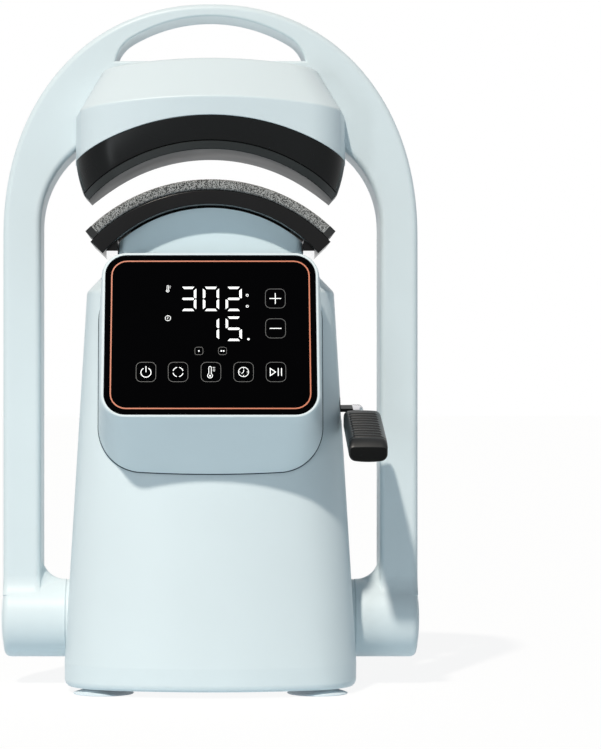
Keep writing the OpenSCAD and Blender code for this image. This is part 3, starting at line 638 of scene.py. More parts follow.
def cleaned(mesh: bpy.types.Mesh, outward: bool) -> None:
    """Merge a mesh's doubled points and drop its slivers.

    Args:
        mesh: the mesh.
        outward: whether its normals are turned outward too.
    """
    work = bmesh.new()
    work.from_mesh(mesh)
    bmesh.ops.remove_doubles(work, verts=work.verts, dist=MERGE)
    bmesh.ops.dissolve_degenerate(work, dist=SLIVER, edges=work.edges)
    if outward:
        bmesh.ops.recalc_face_normals(work, faces=work.faces)
    work.to_mesh(mesh)
    work.free()


def smoothed(piece: Piece, sharp: float) -> None:
    """Shade a piece smooth up to an angle in degrees."""
    piece.data.shade_smooth()
    piece.data.set_sharp_from_angle(angle=math.radians(sharp))


def evened(piece: Piece) -> Piece:
    """Let the large faces of a piece rule its shading.

    Args:
        piece: the piece.

    Returns:
        The piece.
    """
    even = piece.modifiers.new("even_shading", "WEIGHTED_NORMAL")
    even.keep_sharp = True
    even.weight = 80
    return piece


def joined(piece: Piece, others: Sequence[Piece], how: Join) -> Piece:
    """Join solids to a piece, or cut them out of it, and remove them.

    Args:
        piece: the piece that stays.
        others: the solids that are joined or cut out.
        how: join or cut.

    Returns:
        The piece.
    """
    for other in others:
        step = piece.modifiers.new(how.value, "BOOLEAN")
        step.operation = how.value
        step.solver = "EXACT"
        step.object = other
    ready = piece.evaluated_get(bpy.context.evaluated_depsgraph_get())
    mesh = bpy.data.meshes.new_from_object(ready)
    piece.modifiers.clear()
    piece.data = mesh
    for other in others:
        bpy.data.objects.remove(other)
    cleaned(mesh, outward=False)
    smoothed(piece, SHARP)
    return piece


class Axis(Enum):
    """Axis that a profile turns about."""

    X = "x"
    Z = "z"


def turned(skin: Skin, profile: Flat, axis: Axis, centre: Vector, steps: int = 72) -> Skin:
    """Turn a closed profile about an axis.

    Args:
        skin: skin that the turned shape is added to.
        profile: distance from the axis and place along it, round the closed profile.
        axis: the axis.
        centre: a point on the axis.
        steps: steps of the turn.

    Returns:
        The skin.
    """
    rings = []
    for k in range(steps):
        t = 2 * math.pi * k / steps
        c = math.cos(t)
        s = math.sin(t)
        if axis is Axis.X:
            rings.append([centre + Vector((along, r * c, r * s)) for r, along in profile])
        else:
            rings.append([centre + Vector((r * c, r * s, along)) for r, along in profile])
    return skin.loft(rings, loop=True)


def bar(name: str, centre: Vector, radius: float, low: float, high: float) -> Piece:
    """Plain round bar along x that cuts a hole.

    Args:
        name: name of the bar.
        centre: a point on its axis.
        radius: radius of the bar.
        low: first end along the axis.
        high: other end along the axis.

    Returns:
        The bar.
    """
    circle = arc(centre.y, centre.z, radius, 0, 360, 72)[:-1]
    rings = [[Vector((x, y, z)) for y, z in circle] for x in (low, high)]
    return Skin().loft(rings, Cap.FACE).made(name)


def rounded_box(half: float, low: float, high: float, radius: float, steps: int = 8) -> Flat:
    """Rounded rectangle about x = 0, clockwise.

    Args:
        half: half width.
        low: lower edge.
        high: upper edge.
        radius: radius of the corners.
        steps: steps of each corner.

    Returns:
        The points in the plane.
    """
    x = half - radius
    return (
        arc(-x, low + radius, radius, 270, 180, steps)
        + arc(-x, high - radius, radius, 180, 90, steps)
        + arc(x, high - radius, radius, 90, 0, steps)
        + arc(x, low + radius, radius, 0, -90, steps)
    )


def plate(skin: Skin, outline: Flat, front: float, back: float, edge: float = 0.0) -> Skin:
    """Plate in front view, with its front and back edges rounded over.

    Args:
        skin: skin that the plate is added to.
        outline: outline in front view, clockwise.
        front: depth of the front.
        back: depth of the back.
        edge: radius of the edges.

    Returns:
        The skin.
    """
    rings = [stood(outline, front), stood(outline, back)]
    if edge > 0:
        rings = rolled(outline, (front, back), (edge, edge), (4, 4))
    return skin.loft(rings, Cap.FACE)


def dressed(piece: Piece, finish: Finish, body: Body, *nodes: str) -> Piece:
    """Give a piece its finish and its body, and let it stand for CAD nodes.

    Args:
        piece: the piece.
        finish: its finish.
        body: the body that it rides on.
        nodes: CAD nodes that it stands for.

    Returns:
        The piece.
    """
    piece.data.materials.clear()
    piece.data.materials.append(finish.material())
    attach(piece, body.value)
    if nodes:
        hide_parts(*nodes)
    LOG.info("%s on %s, %d faces", piece.name, body.value, len(piece.data.polygons))
    return piece


# Sub-assemblies


@dataclass
class Tower:
    """Tower moulding that carries everything else."""

    half: float = 94.0
    side_taper: float = 0.0576
    front: float = -65.8
    front_taper: float = 0.084
    back: float = 88.3
    bottom: float = 4.0
    plinth: float = 18.4
    shoulder: float = 254.3
    top: float = 265.5
    slope: float = 10.0
    bulge: float = 190.0
    corner: float = 42.0
    back_corner: float = 24.0
    wall: float = 3.0
    neck: Plan = rounded_plan(58.7, -27.5, 19.5, 5.0)
    hinge: Vector = field(default_factory=HINGE.copy)
    shaft: Vector = field(default_factory=SHAFT.copy)
    stub_hole: float = 9.0
    shaft_hole: float = 8.0
    shaft_hole_in: float = 60.0
    hub: float = 25.1
    hub_in: float = 88.5
    hub_out: float = 93.5
    hub_edge: float = 0.4
    cover_z: float = 115.0
    # Half width, half height, corner and depth of the two openings for the back cover
    cover_pocket: tuple[float, ...] = (50.3, 89.3, 6.0, 2.0)
    cover_window: tuple[float, ...] = (46.0, 85.0, 4.0, 10.0)
    feet_x: float = 67.5
    feet_y: Pair = (-30.0, 62.0)

    def plan(self, z: float, inset: float) -> Plan:
        """Outline at a height.

        Args:
            z: the height.
            inset: how far the outline is drawn in.

        Returns:
            The outline.
        """
        half = self.half - self.side_taper * z - inset
        front = self.front + self.front_taper * z + inset
        back = self.back - inset
        corner = self.corner - inset
        return Plan(half, front, back, self.bulge - inset, corner, STRAIGHT, self.back_corner - inset)

    def face_y(self, x: float, z: float) -> float:
        """Depth of the tower's front at a place."""
        return self.plan(z, 0).front_at(x)

    def shell(self) -> Piece:
        """Build the moulding: a rounded shell, open under and round the neck, with its holes.

        Returns:
            The moulding.
        """
        # Height, inset and rounding of each ring outside
        stack = (
            (self.bottom, 3.0, 0.0),
            (self.bottom + 1.2, 1.7, 0.6),
            (self.bottom + 3.2, 0.8, 1.0),
            (self.plinth, 0.0, 0.5),
            (self.shoulder, 0.0, 1.6),
            (self.top, self.slope, 2.0),
            (self.top, self.slope + 6, 0.0),
        )
        # Height that sets the size, height and inset of each ring inside
        inside = (
            (self.bottom, self.bottom - 1, 6.0),
            (self.plinth, self.plinth, self.wall),
            (self.shoulder - 1.5, self.shoulder - 1.5, self.wall),
            (self.top - self.wall, self.top - self.wall, self.slope + 1.2),
        )
        rings = [self.plan(z, d).at(z) for z, d, _r in stack]
        piece = Skin().loft(eased(rings, [r for _z, _d, r in stack])).made("tower_moulding")
        piece = joined(piece, self.hubs(), Join.UNION)
        hollow = Skin().loft([self.plan(z, d).at(level) for z, level, d in inside])
        mouth = Skin().loft([self.neck.at(self.shoulder - 2), self.neck.at(self.top + 1)])
        past = self.half + 6
        cuts = [
            self.cover_cut("cover_pocket", *self.cover_pocket),
            self.cover_cut("cover_window", *self.cover_window),
            hollow.made("hollow"),
            mouth.made("mouth"),
            bar("stub_hole", self.hinge, self.stub_hole, -past, past),
            bar("shaft_hole", self.shaft, self.shaft_hole, self.shaft_hole_in, past),
        ]
        return evened(joined(piece, cuts, Join.CUT))

    def cover_cut(self, name: str, half: float, reach: float, corner: float, deep: float) -> Piece:
        """Build what cuts an opening for the back cover."""
        outline = rounded_box(half, self.cover_z - reach, self.cover_z + reach, corner)
        return plate(Skin(), outline, self.back - deep, self.back + 1).made(name)

    def hubs(self) -> list[Piece]:
        """Build the round faces on the tower's sides, against which the frame's bosses turn.

        Returns:
            The left and the right face.
        """
        r = self.hub
        e = self.hub_edge
        profile = [(0.0, self.hub_in), (r, self.hub_in), (r, self.hub_out - e), (r - e, self.hub_out)]
        profile.append((0.0, self.hub_out))
        return [turned(Skin(), side, Axis.X, self.hinge, 120).made("hub") for side in both_sides(profile)]

    def feet(self) -> Piece:
        """Build the four suction cups with their studs.

        Returns:
            The feet as one piece.
        """
        under = [(0.0, 2.6), (7.0, 2.4), (12.0, 1.3), (16.4, 0.1), (17.4, 0.0), (18.6, 0.0), (19.0, 0.25)]
        over = [(19.0, 0.7), (17.4, 1.3), (14.6, 2.1), (12.6, 3.2), (11.2, 4.6), (10.5, 5.9), (3.0, 5.9)]
        stud = [(3.0, 15.0), (0.0, 15.0)]
        skin = Skin()
        for x in (-self.feet_x, self.feet_x):
            for y in self.feet_y:
                turned(skin, under + over + stud, Axis.Z, Vector((x, y, 0)))
        return skin.made("suction_cups", ROUND)

    def build(self) -> None:
        """Build and dress the tower's own pieces."""
        dressed(self.shell(), BLUE, Body.BASE, "tower_shell")
        # The feet wear rubber painted lighter, as painted light against the tower's shade
        dressed(self.feet(), FEET_PAINTED_LIGHTER, Body.BASE, "suction_feet")


@dataclass
class Console:
    """Sloped console on the tower's front, with its glass."""

    tower: Tower
    width: float = 130.5
    height: float = 105.8
    corner: float = 13.2
    thick: float = 2.4
    lean: float = math.radians(20.7)
    y: float = -87.8
    z: float = 176.4
    half: float = 70.6
    bottom: float = 139.0
    top: float = 274.0
    chin_bulge: float = 900.0
    chin_corner: float = 28.0
    top_corner: float = 40.0
    tuck: float = 0.3
    brow_y: float = -36.0
    brow_z: float = 276.0
    brow_slope: float = 0.35
    groove: float = 1.8
    stand: float = 0.7

    def at(self, u: float, v: float, h: float) -> Vector:
        """Point on the glass.

        Args:
            u: place across, from the middle.
            v: place up the slope, from the lower edge.
            h: height in front of the rim's plane.

        Returns:
            The point.
        """
        y = self.y + v * math.sin(self.lean) - h * math.cos(self.lean)
        z = self.z + v * math.cos(self.lean) + h * math.sin(self.lean)
        return Vector((u, y, z))

    def ring(self, grow: float, h: float) -> Loop:
        """Outline of the glass, grown and set in front of the rim's plane."""
        plan = rounded_plan(self.width / 2 + grow, -grow, self.height + grow, self.corner + grow)
        return [self.at(u, v, h) for u, v in plan.outline(PLAN_STEPS)]

    def foot_ring(self, inset: float, off: float) -> Loop:
        """Outline of the pod near the tower's face.

        Args:
            inset: how far the outline is drawn in.
            off: how far it stands off the face.

        Returns:
            The ring.
        """
        low = self.bottom + inset
        chin = self.chin_corner - inset
        brow = self.top_corner - inset
        plan = Plan(self.half - inset, low, self.top - inset, self.chin_bulge, chin, STRAIGHT, brow)
        made = []
        for x, z in plan.outline(PLAN_STEPS):
            slope = self.brow_y + (self.brow_z - z) * self.brow_slope
            face = min(self.tower.face_y(x, z) - self.tuck, slope)
            made.append(Vector((x, face - off, z)))
        return made

    def pod(self) -> Piece:
        """Build the pod: it grows out of the tower's face and ends in a fine rim round the glass.

        Returns:
            The pod.
        """
        foot = self.foot_ring(0.0, self.stand)
        neck = self.ring(2.5, -1.8)
        swell = [a.lerp(b, 0.5) for a, b in zip(foot, neck)]
        rings = [self.foot_ring(self.groove, off) for off in (-0.4, self.stand)] + [foot, swell, neck]
        for grow, h in ((1.9, -0.4), (1.5, 0.0), (0.3, 0.0), (0.3, -2.7), (-4, -2.7), (-4, -5.6)):
            rings.append(self.ring(grow, h))
        radii = [0.0, 0.0, 0.5, 0.0, 1.0, 0.5, 0.2, 0.0, 0.0, 0.0, 0.0]
        return evened(Skin().loft(eased(rings, radii)).made("console_moulding"))

    def shade_strip(self) -> Piece:
        """Build the dark strip in the groove at the pod's foot, painted shade for the seam's shadow line.

        Returns:
            The strip.
        """
        section = ((1.7, 0.6), (1.7, -0.2), (-0.45, -0.2), (-0.45, 0.6))
        rings = [self.foot_ring(inset, off) for inset, off in section]
        return Skin().loft(rings, loop=True).made("pod_seam_shade")

    def glass(self) -> Piece:
        """Build the glass with its edges ground.

        Returns:
            The glass.
        """
        low = -self.thick - 0.1
        rings = [self.ring(0, low), self.ring(0, -0.4), self.ring(-0.3, -0.1)]
        return Skin().loft(eased(rings, [0, 0.1, 0])).made("touch_glass")

    def build(self) -> None:
        """Build and dress the pod, the glass and the marks on it."""
        dressed(self.pod(), BLUE, Body.BASE, "console_pod")
        # Dark strip in the foot groove: painted shade for the seam's shadow line
        dressed(self.shade_strip(), SEAM_SHADE, Body.BASE)
        dressed(self.glass(), GLASS, Body.BASE, "glass_panel")
        PanelMarks(self).build()


@dataclass
class MarkSheet:
    """Thin raised marks on the glass, gathered in one mesh."""

    console: Console
    skin: Skin = field(default_factory=Skin)
    low: float = -0.12
    high: float = -0.05

    def plate(self, points: Flat) -> None:
        """Add a filled shape."""
        rings = [[self.console.at(u, v, h) for u, v in points] for h in (self.low, self.high)]
        self.skin.loft(rings, Cap.FACE)

    def stroke(self, points: Flat, width: float, closed: bool = False) -> None:
        """Add a line of a width along points.

        Args:
            points: the points that the line follows.
            width: width of the line.
            closed: whether the last point joins the first.
        """
        right = drawn_in(points, width / 2, closed)
        left = drawn_in(points, -width / 2, closed)
        rings = []
        for a, b in zip(left, right):
            corners = [(a, self.low), (b, self.low), (b, self.high), (a, self.high)]
            rings.append([self.console.at(p[0], p[1], h) for p, h in corners])
        self.skin.loft(rings, Cap.FACE, loop=closed)

    def box(self, u: float, v: float, width: float, height: float, radius: float, line: float) -> None:
        """Add a rounded box drawn as a line, about a middle point."""
        outline = rounded_box(width / 2, v - height / 2, v + height / 2, radius, 6)
        self.stroke([(x + u, z) for x, z in outline], line, True)

    def dot(self, u: float, v: float, radius: float) -> None:
        """Add a filled dot."""
        self.plate(arc(u, v, radius, 0, 330, 11))

    def hoop(self, u: float, v: float, radius: float, line: float, steps: int) -> None:
        """Add a circle drawn as a line."""
        self.stroke(arc(u, v, radius, 0, 360, steps)[:-1], line, True)

    def done(self, name: str, finish: Finish) -> None:
        """Make the marks one piece."""
        dressed(self.skin.made(name), finish, Body.BASE)


SEGMENTS = {"0": "abcdef", "1": "bc", "2": "abged", "3": "abgcd", "5": "afgcd"}


@dataclass
class PanelMarks:
    """Lit digits, key outlines and plain symbols on the glass."""

    console: Console
    digit_w: float = 10.0
    digit_h: float = 16.3
    digit_end: float = 1.3
    digit_pitch: float = 14.1
    bar: float = 1.5
    line: float = 0.48
    fine: float = 0.8
    thin: float = 0.3
    key_w: float = 12.1
    key_h: float = 12.8
    key_v: float = 27.8
    key_corner: float = 3.2
    key_row: tuple[float, ...] = (-39.6, -19.9, 0.3, 20.3, 40.2)
    step_u: float = 40.2
    step_v: Pair = (76.7, 56.7)
    sign_r: float = 3.1
    dots_v: float = 41.7
    border: float = 7.8
    border_line: float = 0.8

    def segment(self, name: str) -> Flat:
        """Outline of one segment of a digit, from the digit's lower left corner.

        Args:
            name: letter of the segment, a at the top and on clockwise, g in the middle.

        Returns:
            The outline.
        """
        w = self.digit_w
        h = self.digit_h
        t = self.bar
        e = self.digit_end
        mid = h / 2
        half = t / 2
        flat = [(e, h), (w - e, h), (w - e - t * 0.75, h - t), (e + t * 0.75, h - t)]
        right = [(w, h - e), (w, mid + 0.5), (w - 0.7, mid + 0.5), (w - t, mid + e), (w - t, h - 2 * e)]
        match name:
            case "a":
                return flat
            case "d":
                return [(x, h - z) for x, z in flat]
            case "b":
                return right
            case "c":
                return [(x, h - z) for x, z in right]
            case "f":
                return [(w - x, z) for x, z in right]
            case "e":
                return [(w - x, h - z) for x, z in right]
        over = [(1.2, mid), (1.9, mid + half), (w - 1.9, mid + half)]
        return over + [(w - x, h - z) for x, z in over]

    def digits(self, sheet: MarkSheet, text: str, right: float, low: float) -> None:
        """Add a number, set from its right end.

        Args:
            sheet: the marks that it joins.
            text: the number.
            right: right edge of the last digit.
            low: lower edge of the digits.
        """
        for place, sign in enumerate(reversed(text)):
            u = right - self.digit_w - self.digit_pitch * place
            for name in SEGMENTS[sign]:
                sheet.plate([(u + x, low + z) for x, z in self.segment(name)])

    def thermometer(self, sheet: MarkSheet, u: float, v: float, size: float, line: float) -> None:
        """Add a thermometer: a bulb, a stem with a round top, and three ticks.

        Args:
            sheet: the marks that it joins.
            u: place of the middle across the glass.
            v: place of the middle up the glass.
            size: height of the thermometer.
            line: width of its lines.
        """
        axis = u - size * 0.1
        foot = v - size * 0.32
        bulb = arc(axis, foot, size * 0.2, 120, 420, 20)
        stem = arc(axis, v + size * 0.38, size * 0.1, 0, 180, 8)
        sheet.stroke(bulb + stem, line, True)
        sheet.dot(axis, foot, size * 0.08)
        for k in range(3):
            z = v + size * (0.1 + 0.15 * k)
            sheet.stroke([(u + size * 0.12, z), (u + size * 0.3, z)], line * 0.7)

    def clock(self, sheet: MarkSheet, u: float, v: float, radius: float, line: float) -> None:
        """Add a clock: a ring, two hands and four ticks.

        Args:
            sheet: the marks that it joins.
            u: place of the middle across the glass.
            v: place of the middle up the glass.
            radius: radius of the ring.
            line: width of its lines.
        """
        sheet.hoop(u, v, radius, line, 40)
        hands = [(u + radius * 0.05, v + radius * 0.5), (u, v), (u - radius * 0.4, v - radius * 0.35)]
        sheet.stroke(hands, line)
        for k in range(4):
            t = math.pi / 2 * k
            ends = [radius * 0.88, radius * 0.66]
            sheet.stroke([(u + r * math.cos(t), v + r * math.sin(t)) for r in ends], line)

    def keys(self, lit: MarkSheet, dim: MarkSheet) -> None:
        """Add the keys: dim outlines with lit signs in them.

        Args:
            lit: the lit marks.
            dim: the dim marks.
        """
        v = self.key_v
        power, cycle, heat, time, start = self.key_row
        for u in self.key_row:
            dim.box(u, v, self.key_w, self.key_h, self.key_corner, self.thin)
        for z in self.step_v:
            dim.box(self.step_u, z, self.key_w + 0.2, self.key_h, self.key_corner, self.thin)
            lit.stroke([(self.step_u - 3.6, z), (self.step_u + 3.6, z)], self.line)
        more = self.step_v[0]
        lit.stroke([(self.step_u, more + 3.6), (self.step_u, more - 3.6)], self.line)
        lit.stroke(arc(power, v - 0.3, self.sign_r, 118, 422, 36), self.line)
        lit.stroke([(power, v + 3.9), (power, v - 0.1)], self.line)
        for k in range(4):
            lit.stroke(arc(cycle, v, self.sign_r, 90 * k + 12, 90 * k + 76, 10), self.line)
        self.thermometer(lit, heat + 0.2, v, 7.6, self.line * self.fine)
        self.clock(lit, time, v, self.sign_r, self.line * self.fine)
        lit.stroke([(start - 3.5, v - 2.4), (start - 3.5, v + 2.4), (start - 0.2, v)], self.line, True)
        for u in (start + 1.4, start + 3.4):
            lit.stroke([(u, v + 2.6), (u, v - 2.6)], self.line)

    def build(self) -> None:
        """Build all marks as three pieces: lit, dim and the border line."""
        lit = MarkSheet(self.console)
        dim = MarkSheet(self.console)
        border = MarkSheet(self.console)
        self.digits(lit, "302", 19.4, 68.3)
        self.digits(lit, "15", 19.4, 48.3)
        self.thermometer(lit, -26.1, 83.3, 4.4, self.thin)
        self.clock(lit, -26.3, 63.5, 1.7, 0.28)
        for v in (78.9, 71.5):
            lit.hoop(22.8, v, 0.7, 0.35, 14)
        lit.dot(23.4, 49.5, 0.75)
        for u, dots in ((-7.1, (0.0,)), (7.4, (-0.75, 0.75))):
            dim.box(u, self.dots_v, 5.0, 5.0, 1.5, 0.28)
            for step in dots:
                lit.dot(u + step, self.dots_v, 0.5)
        self.keys(lit, dim)
        c = self.console
        border.box(0, c.height / 2, c.width - self.border, c.height - self.border, 9.6, self.border_line)
        lit.done("lit_marks", WHITE_MARK)
        dim.done("key_outlines", GREY_MARK)
        border.done("border_line", ORANGE_MARK)


@dataclass
class ArchFrame:
    """Arched frame that tilts on two bosses at the tower's sides."""

    half: float = 134.5
    top: float = 442.2
    spring: float = 290.0
    power: float = 2.15
    front: float = 15.0
    back: float = 54.5
    edge: float = 4.0
    back_edge: float = 2.0
    door_half: float = 110.0
    door_spring: float = 298.0
    door_shoulder: float = 63.0
    door_top: float = 366.0
    foot: float = 46.0
    hand_half: float = 61.8
    hand_top: float = 434.0
    hand_floor: float = 405.0
    hand_rise: float = 33.0
    hand_shoulder: float = 22.0
    hand_edge: float = 1.6
    hinge: Vector = field(default_factory=HINGE.copy)
    boss: float = 25.3
    boss_in: float = 93.6
    boss_end: float = 134.9
    boss_face: float = 14.0
    boss_round: float = 4.5
    bore: float = 10.0
    recess: float = 17.0
    recess_floor: float = 120.0
    plug_crown: float = 136.1
    plug_dome: float = 240.0
    blend: float = 20.0
    web: float = 15.0
    web_least: float = 2.0
    web_run: float = 13.0
    sink: float = 0.02
    channel_front: float = 20.0
    channel_in: float = 114.0
    channel_out: float = 128.0
    channel_foot: float = 88.0
    channel_spring: float = 308.0
    channel_top: float = 394.0
    channel_bar_low: float = 374.0
    channel_bar_half: float = 94.9

    def outer(self) -> Flat:
        """Outer edge in front view, from the left foot over the arch to the right foot.

        Returns:
            The points in the plane.
        """
        made = [(-self.half, self.foot)]
        steps = 160
        for i in range(steps + 1):
            t = math.pi * (1 - i / steps)
            c = math.cos(t)
            x = math.copysign(abs(c) ** (2 / self.power), c) if i != steps // 2 else 0.0
            z = self.spring + (self.top - self.spring) * abs(math.sin(t)) ** (2 / self.power)
            made.append((self.half * x, z))
        return made + [(self.half, self.foot)]

    def doorway(self) -> Flat:
        """Inner edge in front view, from the right foot over the doorway to the left foot.

        Returns:
            The points in the plane.
        """
        door = three_arcs(
            self.door_half, self.door_top - self.door_spring, self.door_spring, self.door_shoulder, 28
        )
        path = [(-self.door_half, self.foot)] + door + [(self.door_half, self.foot)]
        return path[::-1]

    def hand(self) -> Flat:
        """Hand opening in front view, from its left foot over the top, and back to the floor's middle.

        Returns:
            The points in the plane.
        """
        foot = self.hand_top - self.hand_rise
        reach = math.sqrt(self.hand_shoulder**2 - (self.hand_floor - foot) ** 2)
        x = self.hand_half - self.hand_shoulder + reach
        curve = three_arcs(self.hand_half, self.hand_rise, foot, self.hand_shoulder, 22)
        kept = [p for p in curve if p[1] > self.hand_floor + 0.6]
        return [(-x, self.hand_floor)] + kept + [(x, self.hand_floor), (0.0, self.hand_floor)]

    def body(self) -> Piece:
        """Build the arch: its rounded edges, and each flat face as two halves round the hand opening.

        Returns:
            The arch without its bosses.
        """
        skin = Skin()
        outer = self.outer()
        door = self.doorway()
        hand = self.hand()
        ends = []
        for outline, side, edge in ((outer + door, 1, self.edge), (hand, -1, self.hand_edge)):
            rings = rolled(outline, (self.front, self.back), (edge, self.back_edge), (8, 4), side)
            starts = skin.walls(rings)
            ends.append((starts[0], starts[-1]))
        top = len(outer) // 2
        lintel = len(outer) + len(door) // 2
        last = len(outer) + len(door) - 1
        crown = (len(hand) - 1) // 2
        sill = len(hand) - 1
        for o, h in zip(*ends):
            left = [o + i for i in range(top + 1)] + [h + i for i in range(crown, -1, -1)]
            left += [h + sill] + [o + i for i in range(lintel, last + 1)]
            right = [o + i for i in range(top, lintel + 1)] + [h + i for i in range(sill, crown - 1, -1)]
            skin.faces += [tuple(left), tuple(right)]
        return skin.made("frame_moulding")

    def bosses(self) -> list[Piece]:
        """Build the two round bosses, each with a softly domed outer end.

        Returns:
            The left and the right boss.
        """
        r = self.boss
        end = self.boss_end
        corner = [Vector((0, x, y)) for x, y in ((self.door_half, r), (end - 1, r), (end, self.boss_face))]
        dome = [bent(*corner, self.boss_round, k / 8) for k in range(9)]
        profile = [(0.0, self.boss_in), (r - 0.6, self.boss_in), (r, self.boss_in + 0.6)]
        profile += [(p.z, p.y) for p in dome] + [(self.boss_face, end), (0.0, end + 0.3)]
        return [turned(Skin(), side, Axis.X, self.hinge, 120).made("boss") for side in both_sides(profile)]

    def leg_front(self, x: float) -> float:
        """Depth of the leg's front, round its edges.

        Args:
            x: distance from the machine's middle.

        Returns:
            The depth.
        """
        r = self.edge
        over = max(self.door_half + r - x, x - (self.half - r), 0.0)
        return self.front + r - math.sqrt(max(0.0, r**2 - min(over, r) ** 2))

    def pair(self, name: str, rings: Sequence[Loop]) -> list[Piece]:
        """Make a solid on each side of the machine.

        Args:
            name: name of the solids.
            rings: the rings of the right one.

        Returns:
            The left and the right solid.
        """
        made = []
        for sign in SIDES:
            turned_over = [[Vector((sign * p.x, p.y, p.z)) for p in ring] for ring in rings]
            made.append(Skin().loft(turned_over, Cap.FACE).made(name))
        return made

    def blends(self) -> list[Piece]:
        """Build the hollow blends between each leg's front and its boss.

        Returns:
            The left and the right blend.
        """
        r = self.blend
        hinge = self.hinge
        first = self.door_half + 0.4
        span = self.half - self.door_half - 0.43
        rings = []
        for k in range(41):
            x = first + span * k / 40
            face = self.leg_front(x) + self.sink
            ball = self.boss - self.sink - max(0.0, x - (self.boss_end - 4)) ** 2 * 0.12
            reach = hinge.y - face
            rise = math.sqrt((ball + r) ** 2 - (reach + r) ** 2)
            low = math.degrees(math.atan2(-rise, reach + r))
            curve = arc(face - r, hinge.z + rise, r, 0, low, 14)
            curve += [(hinge.y, hinge.z + 8), (face + 8, hinge.z + rise)]
            rings.append([Vector((x, y, z)) for y, z in curve])
        return self.pair("blend", rings)

    def webs(self) -> list[Piece]:
        """Build the saddles between each leg's inner side and the top of its boss.

        Returns:
            The left and the right saddle.
        """
        first = self.front + 0.6
        span = self.back - self.front - 2.0
        rings = []
        for k in range(41):
            y = first + span * k / 40
            over = max(self.front + self.edge - y, 0.0)
            side = self.door_half + self.edge - math.sqrt(self.edge**2 - over**2) + self.sink
            crest = self.hinge.z + math.sqrt(self.boss**2 - (y - self.hinge.y) ** 2) - self.sink
            share = min(1.0, (y - self.front) / self.web_run)
            r = self.web_least + (self.web - self.web_least) * share * share * (3 - 2 * share)
            curve = arc(side - r, crest + r, r, -90, 0, 16)
            curve += [(side + 4, crest + r), (side + 4, crest - 5), (side - r, crest - 5)]
            rings.append([Vector((x, y, z)) for x, z in curve])
        return self.pair("web", rings)

    def channel(self) -> list[Piece]:
        """Build what cuts the channel in the frame's back: legs, shoulders and the bar behind the head.

        Returns:
            The cuts.
        """
        near = self.channel_in
        far = self.channel_out
        foot = self.channel_foot
        spring = self.channel_spring
        rise = self.channel_top - spring
        leg = [(near, foot), (near, spring + 1), (far, spring + 1), (far, foot)]
        bend = arc(0, spring, far, math.degrees(math.asin(rise / far)), -0.3, 40)
        bend += arc(0, spring, near, -0.3, math.degrees(math.asin(rise / near)), 40)
        low = self.channel_bar_low
        high = self.channel_top - self.sink
        half = self.channel_bar_half
        bar_box = [(-half, low), (-half, high), (half, high), (half, low)]
        shapes = [(sided(outline, sign), 0.0) for sign in SIDES for outline in (leg, bend)]
        shapes.append((bar_box, 0.01))
        made = []
        for outline, set_back in shapes:
            cut = plate(Skin(), outline, self.channel_front + set_back, self.back + 1)
            made.append(cut.made("channel"))
        return made

    def caps(self) -> Piece:
        """Build the domed plugs that close the bosses' ends.

        Returns:
            Both plugs as one piece.
        """
        skin = Skin()
        dome = [(r, self.plug_crown - r**2 / self.plug_dome) for r in (0.0, 4.0, 8.0, 12.0, 15.0, 16.4)]
        rim = [(16.6, 134.95), (16.85, 134.8), (16.85, 132.0), (0.0, 132.0)]
        for profile in both_sides(dome + rim):
            turned(skin, profile, Axis.X, self.hinge, 96)
        return skin.made("boss_plugs")

    def build(self) -> None:
        """Build the frame from its solids and dress it."""
        piece = joined(self.body(), self.bosses() + self.blends() + self.webs(), Join.UNION)
        cuts = self.channel()
        floor = self.recess_floor
        for sign in SIDES:
            cuts.append(bar("bore", self.hinge, self.bore, sign * 90, sign * (floor + 1)))
            cuts.append(bar("recess", self.hinge, self.recess, sign * floor, sign * 137))
        piece = evened(joined(piece, cuts, Join.CUT))
        dressed(piece, BLUE, Body.FRAME, "frame_arch")
        dressed(self.caps(), BLUE, Body.FRAME, "boss_caps")


